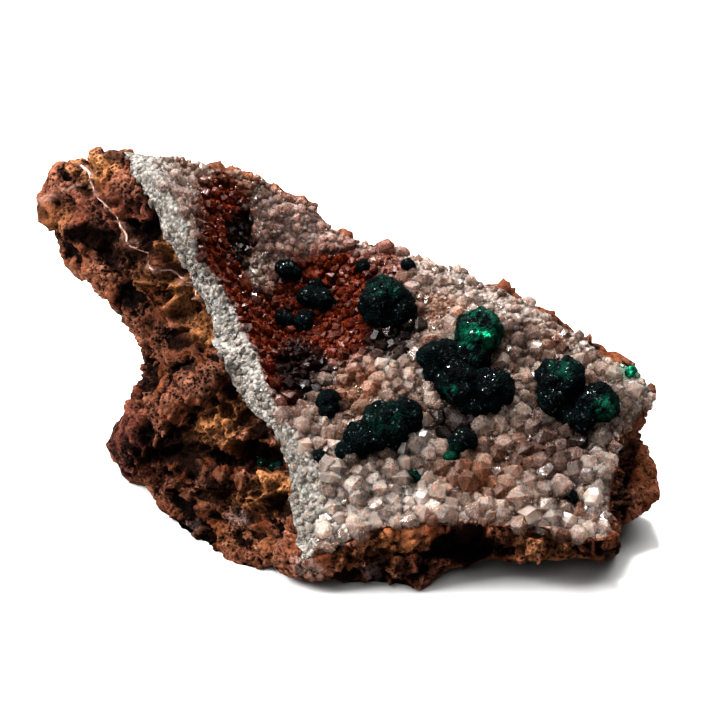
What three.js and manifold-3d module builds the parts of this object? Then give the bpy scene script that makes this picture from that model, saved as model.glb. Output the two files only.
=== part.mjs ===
// A malachite specimen: dark green malachite on a druse of quartz crystals, which lines a hollow in brown,
// iron-stained rock. Millimetres, +Z up, resting on the flats under the rock, with the druse facing -Y.

import * as THREE from "three";
import { mergeVertices } from "three/addons/utils/BufferGeometryUtils.js";
import Module from "manifold-3d";

// The stone is laid out on a sheet that leans back, as seen by someone who looks slightly down on the druse.
// A place on it is across (to the right), up (along the sheet) and depth (behind the sheet).
const sheetLean = THREE.MathUtils.degToRad(22);
const sheetHeight = 25.4; // the middle of the sheet above the surface that the stone rests on
const sheetForward = 16.0; // the middle of the sheet in front of the stone's origin
const sightDistance = 190; // outlines were read from this far in front, so they spread with depth
const meetingGap = 0.3; // between one mineral and the next

// The stone's outline on the sheet, as [across, up], one side at a time.
const stoneOutline = {
  left: [
    [-18.2, -22.4], [-22.2, -20.4], [-24.2, -17.8], [-25.4, -14.8], [-28.4, -13.4], [-29.6, -10.2], [-28.6, -7.2],
    [-26.2, -3.6], [-25.4, -0.4], [-27.0, 4.0], [-30.4, 8.6], [-33.8, 11.6], [-36.2, 14.6], [-38.2, 18.4],
    [-36.8, 20.6], [-35.2, 22.9],
  ],
  top: [
    [-35.2, 22.9], [-32.0, 24.7], [-28.6, 24.6], [-21.6, 23.7], [-16.1, 22.3], [-12.0, 21.0], [-7.8, 18.8],
    [-4.2, 16.0], [-1.6, 14.0], [2.4, 13.2], [7.1, 12.0], [12.8, 9.8], [17.6, 7.6], [21.6, 5.1], [26.2, 1.8],
    [31.4, -1.2], [34.6, -3.8],
  ],
  right: [
    [31.0, -23.2], [30.4, -20.4], [32.2, -19.6], [34.6, -18.2], [35.8, -16.2], [33.6, -11.6], [32.0, -8.8],
    [33.0, -6.2], [34.6, -3.8],
  ],
  bottom: [
    [-18.2, -22.4], [-13.2, -25.8], [-10.3, -24.2], [-6.0, -26.2], [0, -27.2], [8.0, -27.0], [12.2, -24.6],
    [17.0, -24.0], [23.6, -24.0], [31.0, -23.2],
  ],
};

// The quartz crust's outline. Its left side is the outer edge of the white band, where the crust is broken.
const crustOutline = {
  left: [
    [-6.7, -24.4], [-6.8, -21.7], [-7.1, -17.2], [-8.3, -12.6], [-11.0, -7.9], [-13.8, -4.8], [-16.1, -0.6],
    [-17.4, 3.6], [-19.6, 7.4], [-22.4, 13.0], [-24.6, 17.3], [-28.2, 24.5],
  ],
  top: [
    [-28.2, 24.5], [-21.6, 23.4], [-16.1, 21.9], [-12.0, 20.4], [-8.0, 18.1], [-4.4, 15.4], [-1.8, 13.5],
    [2.4, 12.7], [7.0, 11.6], [12.6, 9.2], [17.2, 6.8], [21.2, 4.4], [25.8, 1.3], [31.0, -1.6], [34.0, -4.2],
  ],
  right: [
    [29.0, -21.7], [29.3, -18.0], [29.5, -14.4], [30.2, -10.6], [31.6, -8.6], [32.4, -6.4], [34.0, -4.2],
  ],
  bottom: [
    [-6.7, -24.4], [-4.8, -23.5], [-1.8, -22.0], [1.2, -20.8], [4.8, -20.3], [12.0, -19.9], [19.2, -20.5],
    [24.0, -21.4], [29.0, -21.7],
  ],
};

// Edges between the stone's broken faces. ridge is [up, across]: there the left face meets the druse.
// sill is [across, up]: below it the lower face turns under. jamb is [up, across]: right of it is a recess.
const ridge = [
  [-24.4, -6.0], [-21.7, -4.8], [-17.2, -4.2], [-12.6, -5.0], [-7.9, -8.6], [-4.8, -10.6], [0, -12.4], [3.6, -14.0],
  [7.4, -16.1], [13.0, -19.6], [17.3, -21.4], [23.4, -25.0],
];
const sill = [
  [-26, -16.5], [-18.6, -19.0], [-13.0, -21.6], [-6.7, -24.6], [-1.8, -22.2], [1.2, -21.0], [4.8, -20.5],
  [12.0, -20.1], [19.2, -20.7], [29.0, -21.9],
];
const jamb = [
  [-22, 29.2], [-14.4, 29.7], [-10.6, 30.4], [-8.4, 32.0], [-4.4, 34.6],
];

// Faces of the stone as depths: at across 0 and up 0, and the change for each millimetre across and up.
const druseFace = { middle: 11.1, across: 0.015, up: 0.617 };
const lip = { drop: 0.28, from: -19.6, reach: 5 }; // the druse's left lip stands forward of the druse's face
const leftFaceSlope = 0.85; // the left face falls back from the ridge
const lowerFaceSlope = 0.75; // the lower face falls back under the sill
const recess = { depth: 7, width: 2.2 }; // the step back to the rock that shows past the druse's right edge
const backFaces = [
  { middle: 42, across: 0, up: -0.72 },
  { middle: 46, across: -0.85, up: 0.1 },
  { middle: 57, across: 0.72, up: 0.1 },
  { middle: 41, across: 0.05, up: 0.2 },
];
const edgeRounding = 5; // faces round off over this distance from the outline
// Where the outline lies between front and back, as a share of the thickness: nearer the front low down.
const edgeLine = { share: 0.4, lowShare: 0.08, lowFrom: -12, lowOver: 8 };
const backBlend = 0.35; // how sharply the back's faces meet
const thinnest = 4; // least depth of rock between the front and the back

// Hollows (depth above 0) and lumps (below 0) on the front: centre, half length, half width, turn in degrees.
const frontForms = [
  { name: "hollow", at: [-8.4, 8.4], size: [13, 15], turn: 20, depth: 7 },
  { name: "horn trench", at: [-25.8, 9.0], size: [9, 2.6], turn: -48, depth: 4.5 },
  { name: "horn brow", at: [-31.5, 15.5], size: [6, 2.8], turn: -40, depth: -1.6 },
  { name: "slant ridge", at: [-20.0, -3.8], size: [7.5, 1.9], turn: 43, depth: -2.2 },
  { name: "lower ledge", at: [-16.5, -13.6], size: [7.0, 1.4], turn: -14, depth: -1.8 },
  { name: "upper ledge", at: [-15.5, -8.4], size: [4.6, 1.3], turn: -24, depth: -1.3 },
  { name: "left lobe", at: [-28.0, -10.0], size: [3.0, 4.2], turn: 0, depth: -3.5 },
  { name: "front lump", at: [21.0, -22.4], size: [3.4, 1.6], turn: -8, depth: -1.4 },
  { name: "front ledge", at: [3.0, -24.6], size: [5.0, 1.2], turn: -6, depth: -1.2 },
];

// Cavities and pits in the rock: centre, half length, half width, turn in degrees, half depth.
const cavities = [
  { name: "front cavity", at: [12.2, -22.4], size: [4.4, 1.5], turn: 0, depth: 5 },
  { name: "middle cavity", at: [-11.8, -11.8], size: [3.0, 1.5], turn: -25, depth: 3 },
  { name: "lower cavity", at: [-9.2, -17.0], size: [1.6, 1.2], turn: 0, depth: 2.4 },
  { name: "slit", at: [-20.8, -10.8], size: [3.2, 1.1], turn: 12, depth: 2.4 },
  { name: "low slit", at: [-16.4, -16.6], size: [2.6, 0.8], turn: -16, depth: 1.8 },
  { name: "ridge pit", at: [-13.8, -6.6], size: [1.4, 0.9], turn: 30, depth: 1.6 },
  { name: "neck pit", at: [-21.6, 2.4], size: [1.7, 1.2], turn: -40, depth: 2 },
  { name: "neck pit, lower", at: [-19.6, -1.2], size: [1.3, 0.9], turn: -30, depth: 1.6 },
  { name: "sponge pit, top", at: [-23.0, 10.2], size: [1.2, 0.8], turn: -55, depth: 1.5 },
  { name: "sponge pit, middle", at: [-21.0, 6.6], size: [1.1, 0.8], turn: -50, depth: 1.5 },
  { name: "horn slot", at: [-30.6, 14.2], size: [3.0, 1.1], turn: -30, depth: 2.2 },
  { name: "horn pit", at: [-31.4, 20.4], size: [1.4, 1.0], turn: 10, depth: 1.5 },
];

const smallCavity = 1.5; // half the length of a cavity that needs only coarse facets

// Lumps of the rock, coarse and fine: how far apart they are and how high they stand.
const rockGrain = [
  { size: 13, height: 2.4 },
  { size: 5.2, height: 1.4 },
];
const grainSink = 0.55; // the share of the grain's height that lies below the smooth surface
const underside = { size: 8, height: 1.1, middle: 0.1, pad: 5 }; // a rough foot, flat within the pad and in places
const rockGrid = { columns: 28, rows: 17, crowding: 1.5 }; // rows crowd towards the foot

const crust = {
  thickness: 3.4,
  edge: 0.6,
  taper: 3.6, // the edges thin out over this distance
  wave: { height: 0.5, size: 3 },
  middle: [3, -2],
  grid: { columns: 17, rows: 11, crowding: 1 },
};
// Crystals: places tried, radii, how far they lean, how much of the radius is buried, and the border left bare.
const crystals = { tried: 93, smallest: 0.9, largest: 2.0, lean: 0.5, buried: 0.55, border: 0.08 };
const crystalProfile = [[0, 0], [1, 0], [1, 1.6], [0, 2.75]]; // [out, along] for a radius of 1
const crystalMiddle = 1.4; // how far along the middle of a crystal is, for a radius of 1
const scatter = { u: 0.7548776662, v: 0.5698402909 }; // steps that spread points evenly over a square
const crystalReach = 6; // no crystal stands further out of the crust than this
// Crystals that stand up from the rim and are seen against the light: [across, up], radius, lean across.
const rimRise = 0.9; // how much more upright they stand than the others
const rimCrystals = [
  { at: [2.9, 12.6], radius: 1.7, lean: -0.5 },
  { at: [4.9, 12.2], radius: 1.4, lean: 0.4 },
  { at: [-1.2, 13.2], radius: 1.1, lean: -0.3 },
  { at: [19.6, 5.4], radius: 1.0, lean: 0.3 },
  { at: [33.0, -5.0], radius: 1.3, lean: 0.6 },
];

// Malachite: each group's balls as [across, up, radius, lift], where lift is how far a ball's centre stands
// forward of the crust.
const malachiteGroups = {
  malachite_crown: [
    [14.2, 3.2, 2.9, 1.6], [9.6, -0.2, 2.6, 1.2], [11.8, -3.0, 3.0, 1.6], [15.6, -3.6, 2.7, 1.2], [13.2, 0, 2.4, 1.2],
    [13.6, -5.8, 1.9, 0.6],
  ],
  malachite_right: [
    [24.2, -2.8, 3.1, 1.4], [28.3, -5.4, 2.6, 1.3], [26.4, -7.0, 2.1, 0.9], [23.5, -5.0, 2.2, 0.9],
  ],
  malachite_front: [
    [3.0, -8.4, 3.1, 1.5], [5.2, -7.3, 2.3, 1.2], [0.2, -9.6, 2.3, 1.2], [-1.7, -11.0, 1.3, 0.7],
  ],
  malachite_rear: [
    [3.1, 6.8, 3.0, 1.6], [4.7, 5.8, 2.1, 1.2], [1.6, 5.9, 1.8, 1.0],
  ],
  malachite_hollow_trio: [
    [-4.6, 7.0, 1.6, 1.1], [-6.2, 7.4, 1.4, 1.0], [-5.3, 8.8, 1.0, 0.9],
  ],
  malachite_hollow_top: [[-8.9, 10.8, 1.3, 1.0], [-8.0, 10.3, 1.1, 0.9]],
  malachite_hollow_left: [[-9.1, 4.8, 1.2, 0.9]],
  malachite_hollow_low: [[-6.8, 4.4, 1.3, 0.9], [-6.4, 5.2, 0.9, 0.7]],
  malachite_bead: [[-3.8, -5.0, 1.5, 1.0], [-4.0, -6.4, 0.9, 0.7]],
  malachite_drip: [[12.6, -9.6, 1.4, 0.8], [11.5, -10.4, 1.2, 0.8], [10.9, -11.8, 0.9, 0.8]],
};
const ballWave = { size: 1.3, share: 0.22 }; // a ball's lumps, with their height as a share of its radius
const ballRoom = 1.1; // how far crystals keep off a ball, as a share of its radius
// How finely a ball is divided into facets, from the largest down.
const ballFacets = [
  { from: 3.05, detail: 2 },
  { from: 1.35, detail: 1 },
  { from: 0, detail: 0 },
];

const finishes = {
  rock: new THREE.MeshStandardMaterial({ color: 0x5a3220, roughness: 0.95, metalness: 0 }),
  quartz: new THREE.MeshStandardMaterial({ color: 0xc9b6ae, roughness: 0.25, metalness: 0 }),
  malachite: new THREE.MeshStandardMaterial({ color: 0x0a3b33, roughness: 0.35, metalness: 0 }),
};

const fract = (x) => x - Math.floor(x);
const hash = (x, y, z) => fract(Math.sin(x * 127.1 + y * 311.7 + z * 74.7) * 43758.5453);
const smooth = (t) => t * t * (3 - 2 * t);
const clamp01 = (t) => Math.min(1, Math.max(0, t));

// Value noise from 0 to 1: random values at whole-number corners, blended smoothly between them.
function noise(x, y, z) {
  const [i, j, k] = [Math.floor(x), Math.floor(y), Math.floor(z)];
  const [u, v, w] = [smooth(x - i), smooth(y - j), smooth(z - k)];
  const row = (dj, dk) => hash(i, j + dj, k + dk) * (1 - u) + hash(i + 1, j + dj, k + dk) * u;
  const layer = (dk) => row(0, dk) * (1 - v) + row(1, dk) * v;
  return layer(0) * (1 - w) + layer(1) * w;
}

// A knotted curve's value at x, straight between knots and level past the ends.
function alongKnots(knots, x) {
  if (x <= knots[0][0]) return knots[0][1];
  for (let i = 1; i < knots.length; i++) {
    const [[x0, y0], [x1, y1]] = [knots[i - 1], knots[i]];
    if (x <= x1) return y0 + ((y1 - y0) * (x - x0)) / (x1 - x0);
  }
  return knots[knots.length - 1][1];
}

// The point a share t of the way along a side, by length.
function alongSide(side, t) {
  const lengths = side.slice(1).map((p, i) => Math.hypot(p[0] - side[i][0], p[1] - side[i][1]));
  let left = t * lengths.reduce((sum, length) => sum + length, 0);
  for (let i = 0; i < lengths.length; i++) {
    if (left <= lengths[i] || i === lengths.length - 1) {
      const s = Math.min(1, left / lengths[i]);
      return [side[i][0] + (side[i + 1][0] - side[i][0]) * s, side[i][1] + (side[i + 1][1] - side[i][1]) * s];
    }
    left -= lengths[i];
  }
}

// A point inside a four-sided outline: each side pulls the points near it (a Coons patch).
function insidePatch(outline, u, v) {
  const { left, top, right, bottom } = outline;
  const [l, r, b, t] = [alongSide(left, v), alongSide(right, v), alongSide(bottom, u), alongSide(top, u)];
  const [lb, lt, rb, rt] = [left[0], left[left.length - 1], right[0], right[right.length - 1]];
  return [0, 1].map(
    (i) =>
      (1 - u) * l[i] + u * r[i] + (1 - v) * b[i] + v * t[i] -
      ((1 - u) * ((1 - v) * lb[i] + v * lt[i]) + u * ((1 - v) * rb[i] + v * rt[i])),
  );
}

const ringOf = ({ left, top, right, bottom }) => [...left, ...top, ...[...right].reverse(), ...[...bottom].reverse()];
const stoneRing = ringOf(stoneOutline);
const crustRing = ringOf(crustOutline);

// Distance from a point on the sheet to a ring.
function distanceToRing(ring, across, up) {
  let least = Infinity;
  ring.forEach(([x0, y0], i) => {
    const [x1, y1] = ring[(i + 1) % ring.length];
    const [dx, dy] = [x1 - x0, y1 - y0];
    const length2 = dx * dx + dy * dy;
    const t = length2 > 0 ? clamp01(((across - x0) * dx + (up - y0) * dy) / length2) : 0;
    least = Math.min(least, Math.hypot(across - x0 - dx * t, up - y0 - dy * t));
  });
  return least;
}

// Depth added by the hollows and lumps: a bell-shaped form each.
function formsDepth(across, up) {
  return frontForms.reduce((sum, { at, size, turn, depth }) => {
    const angle = THREE.MathUtils.degToRad(turn);
    const [x, y] = [across - at[0], up - at[1]];
    const p = (x * Math.cos(angle) + y * Math.sin(angle)) / size[0];
    const q = (y * Math.cos(angle) - x * Math.sin(angle)) / size[1];
    return sum + depth * Math.exp(-1.6 * (p * p + q * q));
  }, 0);
}

const faceDepth = (face, across, up) => face.middle + face.across * across + face.up * up;

// Depth of the stone's front before its edges are rounded.
function frontDepth(across, up) {
  const edge = alongKnots(ridge, up);
  const beyond = Math.max(0, across - edge);
  const lipDrop = lip.drop * Math.max(0, up - lip.from);
  const druse = faceDepth(druseFace, Math.max(across, edge), up) - lipDrop * Math.exp(-beyond / lip.reach);
  const leftFall = leftFaceSlope * Math.max(0, edge - across);
  const lowerFall = lowerFaceSlope * Math.max(0, alongKnots(sill, across) - up);
  const rightFall = recess.depth * smooth(clamp01((across - alongKnots(jamb, up)) / recess.width));
  return druse + leftFall + lowerFall + rightFall + formsDepth(across, up);
}

// Depth of the stone's back: the nearest of its back faces, and never thinner than the thinnest rock.
function backDepth(across, up) {
  const blend = backFaces.reduce((sum, face) => sum + Math.exp(-backBlend * faceDepth(face, across, up)), 0);
  return Math.max(-Math.log(blend) / backBlend, frontDepth(across, up) + thinnest);
}

// Front or back depth with the edges rounded towards the middle of the outline's thickness.
function roundedDepth(across, up, isFront) {
  const [front, back] = [frontDepth(across, up), backDepth(across, up)];
  const low = smooth(clamp01((edgeLine.lowFrom - up) / edgeLine.lowOver));
  const middle = front + (back - front) * (edgeLine.share + (edgeLine.lowShare - edgeLine.share) * low);
  const inset = clamp01(distanceToRing(stoneRing, across, up) / edgeRounding);
  const bulge = Math.sqrt(1 - (1 - inset) * (1 - inset));
  return middle + ((isFront ? front : back) - middle) * bulge;
}

// From the sheet to the stone's own frame.
function toStone(across, up, depth) {
  const spread = 1 + depth / sightDistance;
  const y = up * spread * Math.sin(sheetLean) + depth * Math.cos(sheetLean) - sheetForward;
  const z = up * spread * Math.cos(sheetLean) - depth * Math.sin(sheetLean) + sheetHeight;
  return new THREE.Vector3(across * spread, y, z);
}

// A closed shell of two sheets over one patch: near(across, up) and far.at(across, up). The sheets share the
// near one's border, or have a wall between them where the far one keeps its own.
function shellGeometry(outline, { columns, rows, crowding }, near, far) {
  const points = [];
  const emptyGrid = () => Array.from({ length: rows + 1 }, () => new Array(columns + 1));
  const [front, back] = [emptyGrid(), emptyGrid()];
  for (let j = 0; j <= rows; j++) {
    for (let i = 0; i <= columns; i++) {
      const [u, v] = [i / columns, (j / rows) ** crowding];
      const [across, up] = insidePatch(outline, u, v);
      const onBorder = i === 0 || j === 0 || i === columns || j === rows;
      front[j][i] = points.push(near(across, up)) - 1;
      back[j][i] = onBorder && !far.ownBorder ? front[j][i] : points.push(far.at(across, up)) - 1;
    }
  }
  const index = [];
  for (let j = 0; j < rows; j++) {
    for (let i = 0; i < columns; i++) {
      const [a, b, c, d] = [front[j][i], front[j][i + 1], front[j + 1][i + 1], front[j + 1][i]];
      const [e, f, g, h] = [back[j][i], back[j][i + 1], back[j + 1][i + 1], back[j + 1][i]];
      index.push(a, b, c, a, c, d, e, g, f, e, h, g);
    }
  }
  if (far.ownBorder) {
    const border = [];
    for (let i = 0; i < columns; i++) border.push([0, i]);
    for (let j = 0; j < rows; j++) border.push([j, columns]);
    for (let i = columns; i > 0; i--) border.push([rows, i]);
    for (let j = rows; j > 0; j--) border.push([j, 0]);
    border.forEach(([j0, i0], n) => {
      const [j1, i1] = border[(n + 1) % border.length];
      index.push(front[j0][i0], back[j0][i0], back[j1][i1], front[j0][i0], back[j1][i1], front[j1][i1]);
    });
  }
  const geometry = new THREE.BufferGeometry().setFromPoints(points);
  geometry.setIndex(index);
  geometry.computeVertexNormals();
  return geometry;
}

// Moves each vertex along its normal by height(point).
function displace(geometry, height) {
  const { position, normal } = geometry.attributes;
  const [point, out] = [new THREE.Vector3(), new THREE.Vector3()];
  for (let i = 0; i < position.count; i++) {
    point.fromBufferAttribute(position, i);
    out.fromBufferAttribute(normal, i);
    point.addScaledVector(out, height(point));
    position.setXYZ(i, point.x, point.y, point.z);
  }
  return geometry;
}

const wasm = await Module();
wasm.setup();

// A closed geometry as a manifold-3d solid, and back.
function toSolid(geometry) {
  const bare = geometry.index ? geometry.toNonIndexed() : geometry.clone();
  bare.deleteAttribute("normal");
  bare.deleteAttribute("uv");
  const merged = mergeVertices(bare, 1e-4);
  return new wasm.Manifold(
    new wasm.Mesh({
      numProp: 3,
      vertProperties: merged.attributes.position.array,
      triVerts: new Uint32Array(merged.index.array),
    }),
  );
}

function toGeometry(solid) {
  const mesh = solid.getMesh();
  const geometry = new THREE.BufferGeometry();
  geometry.setAttribute("position", new THREE.BufferAttribute(mesh.vertProperties.slice(), 3));
  geometry.setIndex(new THREE.BufferAttribute(mesh.triVerts.slice(), 1));
  geometry.computeVertexNormals();
  return geometry;
}

// Ridged grain: creases of the noise stand up, and the rest sinks.
function rockHeight(p) {
  return rockGrain.reduce((sum, { size, height }) => {
    const ridged = 1 - Math.abs(2 * noise(p.x / size, p.y / size, p.z / size) - 1);
    return sum + height * (ridged - grainSink);
  }, 0);
}

// The whole stone as one lump, with rough broken faces and a foot trimmed where it rests.
function stoneSolid() {
  const geometry = shellGeometry(
    stoneOutline,
    rockGrid,
    (across, up) => toStone(across, up, roundedDepth(across, up, true)),
    { at: (across, up) => toStone(across, up, roundedDepth(across, up, false)) },
  );
  displace(geometry, rockHeight);
  const { position } = geometry.attributes;
  for (let i = 0; i < position.count; i++) {
    const [x, y, z] = [position.getX(i), position.getY(i), position.getZ(i)];
    const wave = noise(x / underside.size, y / underside.size, 0);
    const foot = Math.hypot(x, y) < underside.pad ? 0 : underside.middle + underside.height * (2 * wave - 1);
    position.setZ(i, Math.max(0, foot, z));
  }
  return toSolid(geometry);
}

// The cavities, each a rough egg that is sunk in the rock's face.
function cavitiesSolid() {
  return wasm.Manifold.union(
    cavities.map(({ at: [across, up], size, turn, depth }) => {
      const egg = ballGeometry(1, size[0] > smallCavity ? 1 : 0).scale(size[0], depth, size[1]);
      egg.rotateY(-THREE.MathUtils.degToRad(turn)).rotateX(-sheetLean);
      const centre = toStone(across, up, roundedDepth(across, up, true) + grainSink);
      return toSolid(egg.translate(centre.x, centre.y, centre.z));
    }),
  );
}

// 0 at the crust's edges and 1 where it has its full thickness.
const crustInset = (across, up) => clamp01(distanceToRing(crustRing, across, up) / crust.taper);

// The crust's depth at its front: the stone's front with a slow wave.
function crustFront(across, up) {
  const { height, size } = crust.wave;
  const wave = height * (2 * noise(across / size, up / size, 7) - 1);
  return roundedDepth(across, up, true) - wave * crustInset(across, up);
}

// The crust's thickness: even, and thinner towards its edges.
function crustThickness(across, up) {
  return crust.edge + (crust.thickness - crust.edge) * smooth(crustInset(across, up));
}

// A block over the crust's outline, which runs from `near` in front of the crust's face to `far` behind it, and
// whose sides stand outside the outline by `margin`.
function crustBlock(near, far, margin) {
  const place = (across, up, depth) => {
    const [x, y] = [across - crust.middle[0], up - crust.middle[1]];
    const outwards = (margin * (1 - crustInset(across, up))) / Math.hypot(x, y);
    return toStone(across + x * outwards, up + y * outwards, depth);
  };
  return toSolid(
    shellGeometry(
      crustOutline,
      crust.grid,
      (across, up) => place(across, up, crustFront(across, up) - near),
      { at: (across, up) => place(across, up, crustFront(across, up) + far(across, up)), ownBorder: true },
    ),
  );
}

const crustSheet = () => crustBlock(0, crustThickness, 0);
const crystalRoom = () => crustBlock(crystalReach, crustThickness, 0);
const roomInRock = () =>
  crustBlock(crystalReach, (across, up) => crustThickness(across, up) + meetingGap, meetingGap);
const behindCrust = () => crustBlock(meetingGap, () => crystalReach, crystalReach);

// A quartz crystal: a six-sided prism with a six-sided point, from the base at `at` along `axis`.
function crystalSolid(at, axis, radius, turn) {
  const profile = crystalProfile.map(([out, along]) => new THREE.Vector2(out * radius, along * radius));
  const lie = new THREE.Quaternion().setFromUnitVectors(new THREE.Vector3(0, 1, 0), axis.clone().normalize());
  const crystal = new THREE.LatheGeometry(profile, 6).rotateY(turn).applyQuaternion(lie);
  return toSolid(crystal.translate(at.x, at.y, at.z));
}

// The way out of the druse at a place on the sheet.
function outward(across, up) {
  const step = 1.2; // wide enough to pass over the crust's small waves
  const p = toStone(across, up, crustFront(across, up));
  const px = toStone(across + step, up, crustFront(across + step, up)).sub(p);
  const py = toStone(across, up + step, crustFront(across, up + step)).sub(p);
  return px.cross(py).normalize();
}

// The crystals that line the druse, roughly square to it, leaving the malachite's places bare.
function druseCrystals() {
  const balls = Object.values(malachiteGroups).flat();
  const made = [];
  for (let n = 1; n <= crystals.tried; n++) {
    const inner = (t) => crystals.border + (1 - 2 * crystals.border) * fract(t);
    const [across, up] = insidePatch(crustOutline, inner(n * scatter.u), inner(n * scatter.v));
    const radius = crystals.smallest + (crystals.largest - crystals.smallest) * hash(n, 3, 1) ** 1.6;
    const axis = outward(across, up);
    axis.x += crystals.lean * (2 * hash(n, 5, 2) - 1);
    axis.z += crystals.lean * (2 * hash(n, 8, 4) - 1);
    const at = toStone(across, up, crustFront(across, up) + radius * crystals.buried);
    const reach = radius * crystalMiddle;
    const middle = at.clone().addScaledVector(axis.normalize(), reach);
    if (balls.some((ball) => middle.distanceTo(ballCentre(ball)) < ball[2] * ballRoom + reach)) continue;
    made.push(crystalSolid(at, axis, radius, hash(n, 9, 6) * Math.PI));
  }
  return wasm.Manifold.union(made);
}

// The crystals on the rim, which grow past the crust's edge, each made wider by the gap.
function rimSolid(gap) {
  return wasm.Manifold.union(
    rimCrystals.map(({ at, radius, lean }) => {
      const axis = outward(...at).add(new THREE.Vector3(lean, 0, rimRise));
      const foot = toStone(...at, crustFront(...at) + radius * crystals.buried);
      return crystalSolid(foot.addScaledVector(axis.normalize(), -gap), axis, radius + gap, lean);
    }),
  );
}

// A ball's centre: lift stands it forward of the crust.
const ballCentre = ([across, up, , lift]) => toStone(across, up, crustFront(across, up) - lift);

// A faceted ball, closed and merged, with its centre at the zero point.
function ballGeometry(radius, detail) {
  const ball = new THREE.IcosahedronGeometry(radius, detail).deleteAttribute("uv").deleteAttribute("normal");
  const merged = mergeVertices(ball, 1e-3);
  merged.computeVertexNormals();
  return merged;
}

// A group of malachite balls grown into each other, with a foot that follows the crust.
function malachiteSolid(balls) {
  const { size, share } = ballWave;
  const grown = balls.map((ball) => {
    const radius = ball[2];
    const centre = ballCentre(ball);
    const { detail } = ballFacets.find(({ from }) => radius >= from);
    const geometry = ballGeometry(radius, detail).translate(centre.x, centre.y, centre.z);
    return toSolid(displace(geometry, (p) => radius * share * (2 * noise(p.x / size, p.y / size, p.z / size) - 1)));
  });
  return wasm.Manifold.union(grown).subtract(behindCrust());
}

// The largest body of a solid, without the crumbs that a cut leaves loose.
function largestBody(solid) {
  return solid.decompose().reduce((most, body) => (body.volume() > most.volume() ? body : most));
}

function named(name, solid, material) {
  const mesh = new THREE.Mesh(toGeometry(largestBody(solid)), material);
  mesh.name = name;
  return mesh;
}

const specimen = new THREE.Group();
const druse = crustSheet().add(druseCrystals().intersect(crystalRoom())).add(rimSolid(0));
const rock = stoneSolid().subtract(cavitiesSolid()).subtract(roomInRock()).subtract(rimSolid(meetingGap));
specimen.add(named("rock", rock, finishes.rock));
specimen.add(named("quartz_druse", druse, finishes.quartz));
for (const [name, balls] of Object.entries(malachiteGroups)) {
  specimen.add(named(name, malachiteSolid(balls), finishes.malachite));
}

export default specimen;
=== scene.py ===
# A malachite specimen: dark green malachite on a druse of quartz crystals, in brown, iron-stained rock.
# Its surfaces are worked out on the same leaning sheet as its solids, so each one lies where its solid is.

import bpy
import numpy as np
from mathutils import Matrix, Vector


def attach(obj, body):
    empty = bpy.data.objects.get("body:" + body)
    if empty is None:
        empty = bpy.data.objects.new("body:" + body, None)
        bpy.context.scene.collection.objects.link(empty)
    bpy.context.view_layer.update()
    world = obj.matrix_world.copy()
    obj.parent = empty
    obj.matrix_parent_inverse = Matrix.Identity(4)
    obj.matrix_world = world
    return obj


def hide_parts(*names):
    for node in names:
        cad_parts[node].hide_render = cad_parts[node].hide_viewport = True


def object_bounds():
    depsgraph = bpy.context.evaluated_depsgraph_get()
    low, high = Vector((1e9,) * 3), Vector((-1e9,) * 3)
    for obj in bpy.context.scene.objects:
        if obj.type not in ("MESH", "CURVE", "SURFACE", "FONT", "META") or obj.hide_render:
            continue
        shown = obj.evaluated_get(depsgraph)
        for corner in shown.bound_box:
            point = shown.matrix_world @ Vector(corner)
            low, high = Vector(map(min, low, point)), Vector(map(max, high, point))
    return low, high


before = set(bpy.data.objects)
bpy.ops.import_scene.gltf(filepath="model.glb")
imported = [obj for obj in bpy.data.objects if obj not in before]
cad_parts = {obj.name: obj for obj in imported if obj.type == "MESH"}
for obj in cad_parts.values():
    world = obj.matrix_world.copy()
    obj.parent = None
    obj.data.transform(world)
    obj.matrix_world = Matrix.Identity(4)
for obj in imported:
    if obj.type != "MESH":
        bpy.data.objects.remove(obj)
cadBox = [list(corner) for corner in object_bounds()]
millimetre = 0.001

# The sheet: a place on it is across (to the right), up (along it) and depth (behind it), in millimetres.
sheet = {
    "lean": np.radians(22.0),
    "height": 25.4,  # its middle above the floor
    "forward": 16.0,  # its middle in front of the origin
    "sight": 190.0,  # its middle from the eye
    "view": 86.4,  # how much of it is in the picture
}

# The stone's outline on the sheet, one side at a time, as [across, up].
stoneOutline = {
    "left": [
        [-18.2, -22.4], [-22.2, -20.4], [-24.2, -17.8], [-25.4, -14.8], [-28.4, -13.4], [-29.6, -10.2],
        [-28.6, -7.2], [-26.2, -3.6], [-25.4, -0.4], [-27.0, 4.0], [-30.4, 8.6], [-33.8, 11.6],
        [-36.2, 14.6], [-38.2, 18.4], [-36.8, 20.6], [-35.2, 22.9],
    ],
    "top": [
        [-35.2, 22.9], [-32.0, 24.7], [-28.6, 24.6], [-21.6, 23.7], [-16.1, 22.3], [-12.0, 21.0],
        [-7.8, 18.8], [-4.2, 16.0], [-1.6, 14.0], [2.4, 13.2], [7.1, 12.0], [12.8, 9.8], [17.6, 7.6],
        [21.6, 5.1], [26.2, 1.8], [31.4, -1.2], [34.6, -3.8],
    ],
    "right": [
        [31.0, -23.2], [30.4, -20.4], [32.2, -19.6], [34.6, -18.2], [35.8, -16.2], [33.6, -11.6],
        [32.0, -8.8], [33.0, -6.2], [34.6, -3.8],
    ],
    "bottom": [
        [-18.2, -22.4], [-13.2, -25.8], [-10.3, -24.2], [-6.0, -26.2], [0, -27.2], [8.0, -27.0],
        [12.2, -24.6], [17.0, -24.0], [23.6, -24.0], [31.0, -23.2],
    ],
}

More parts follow.
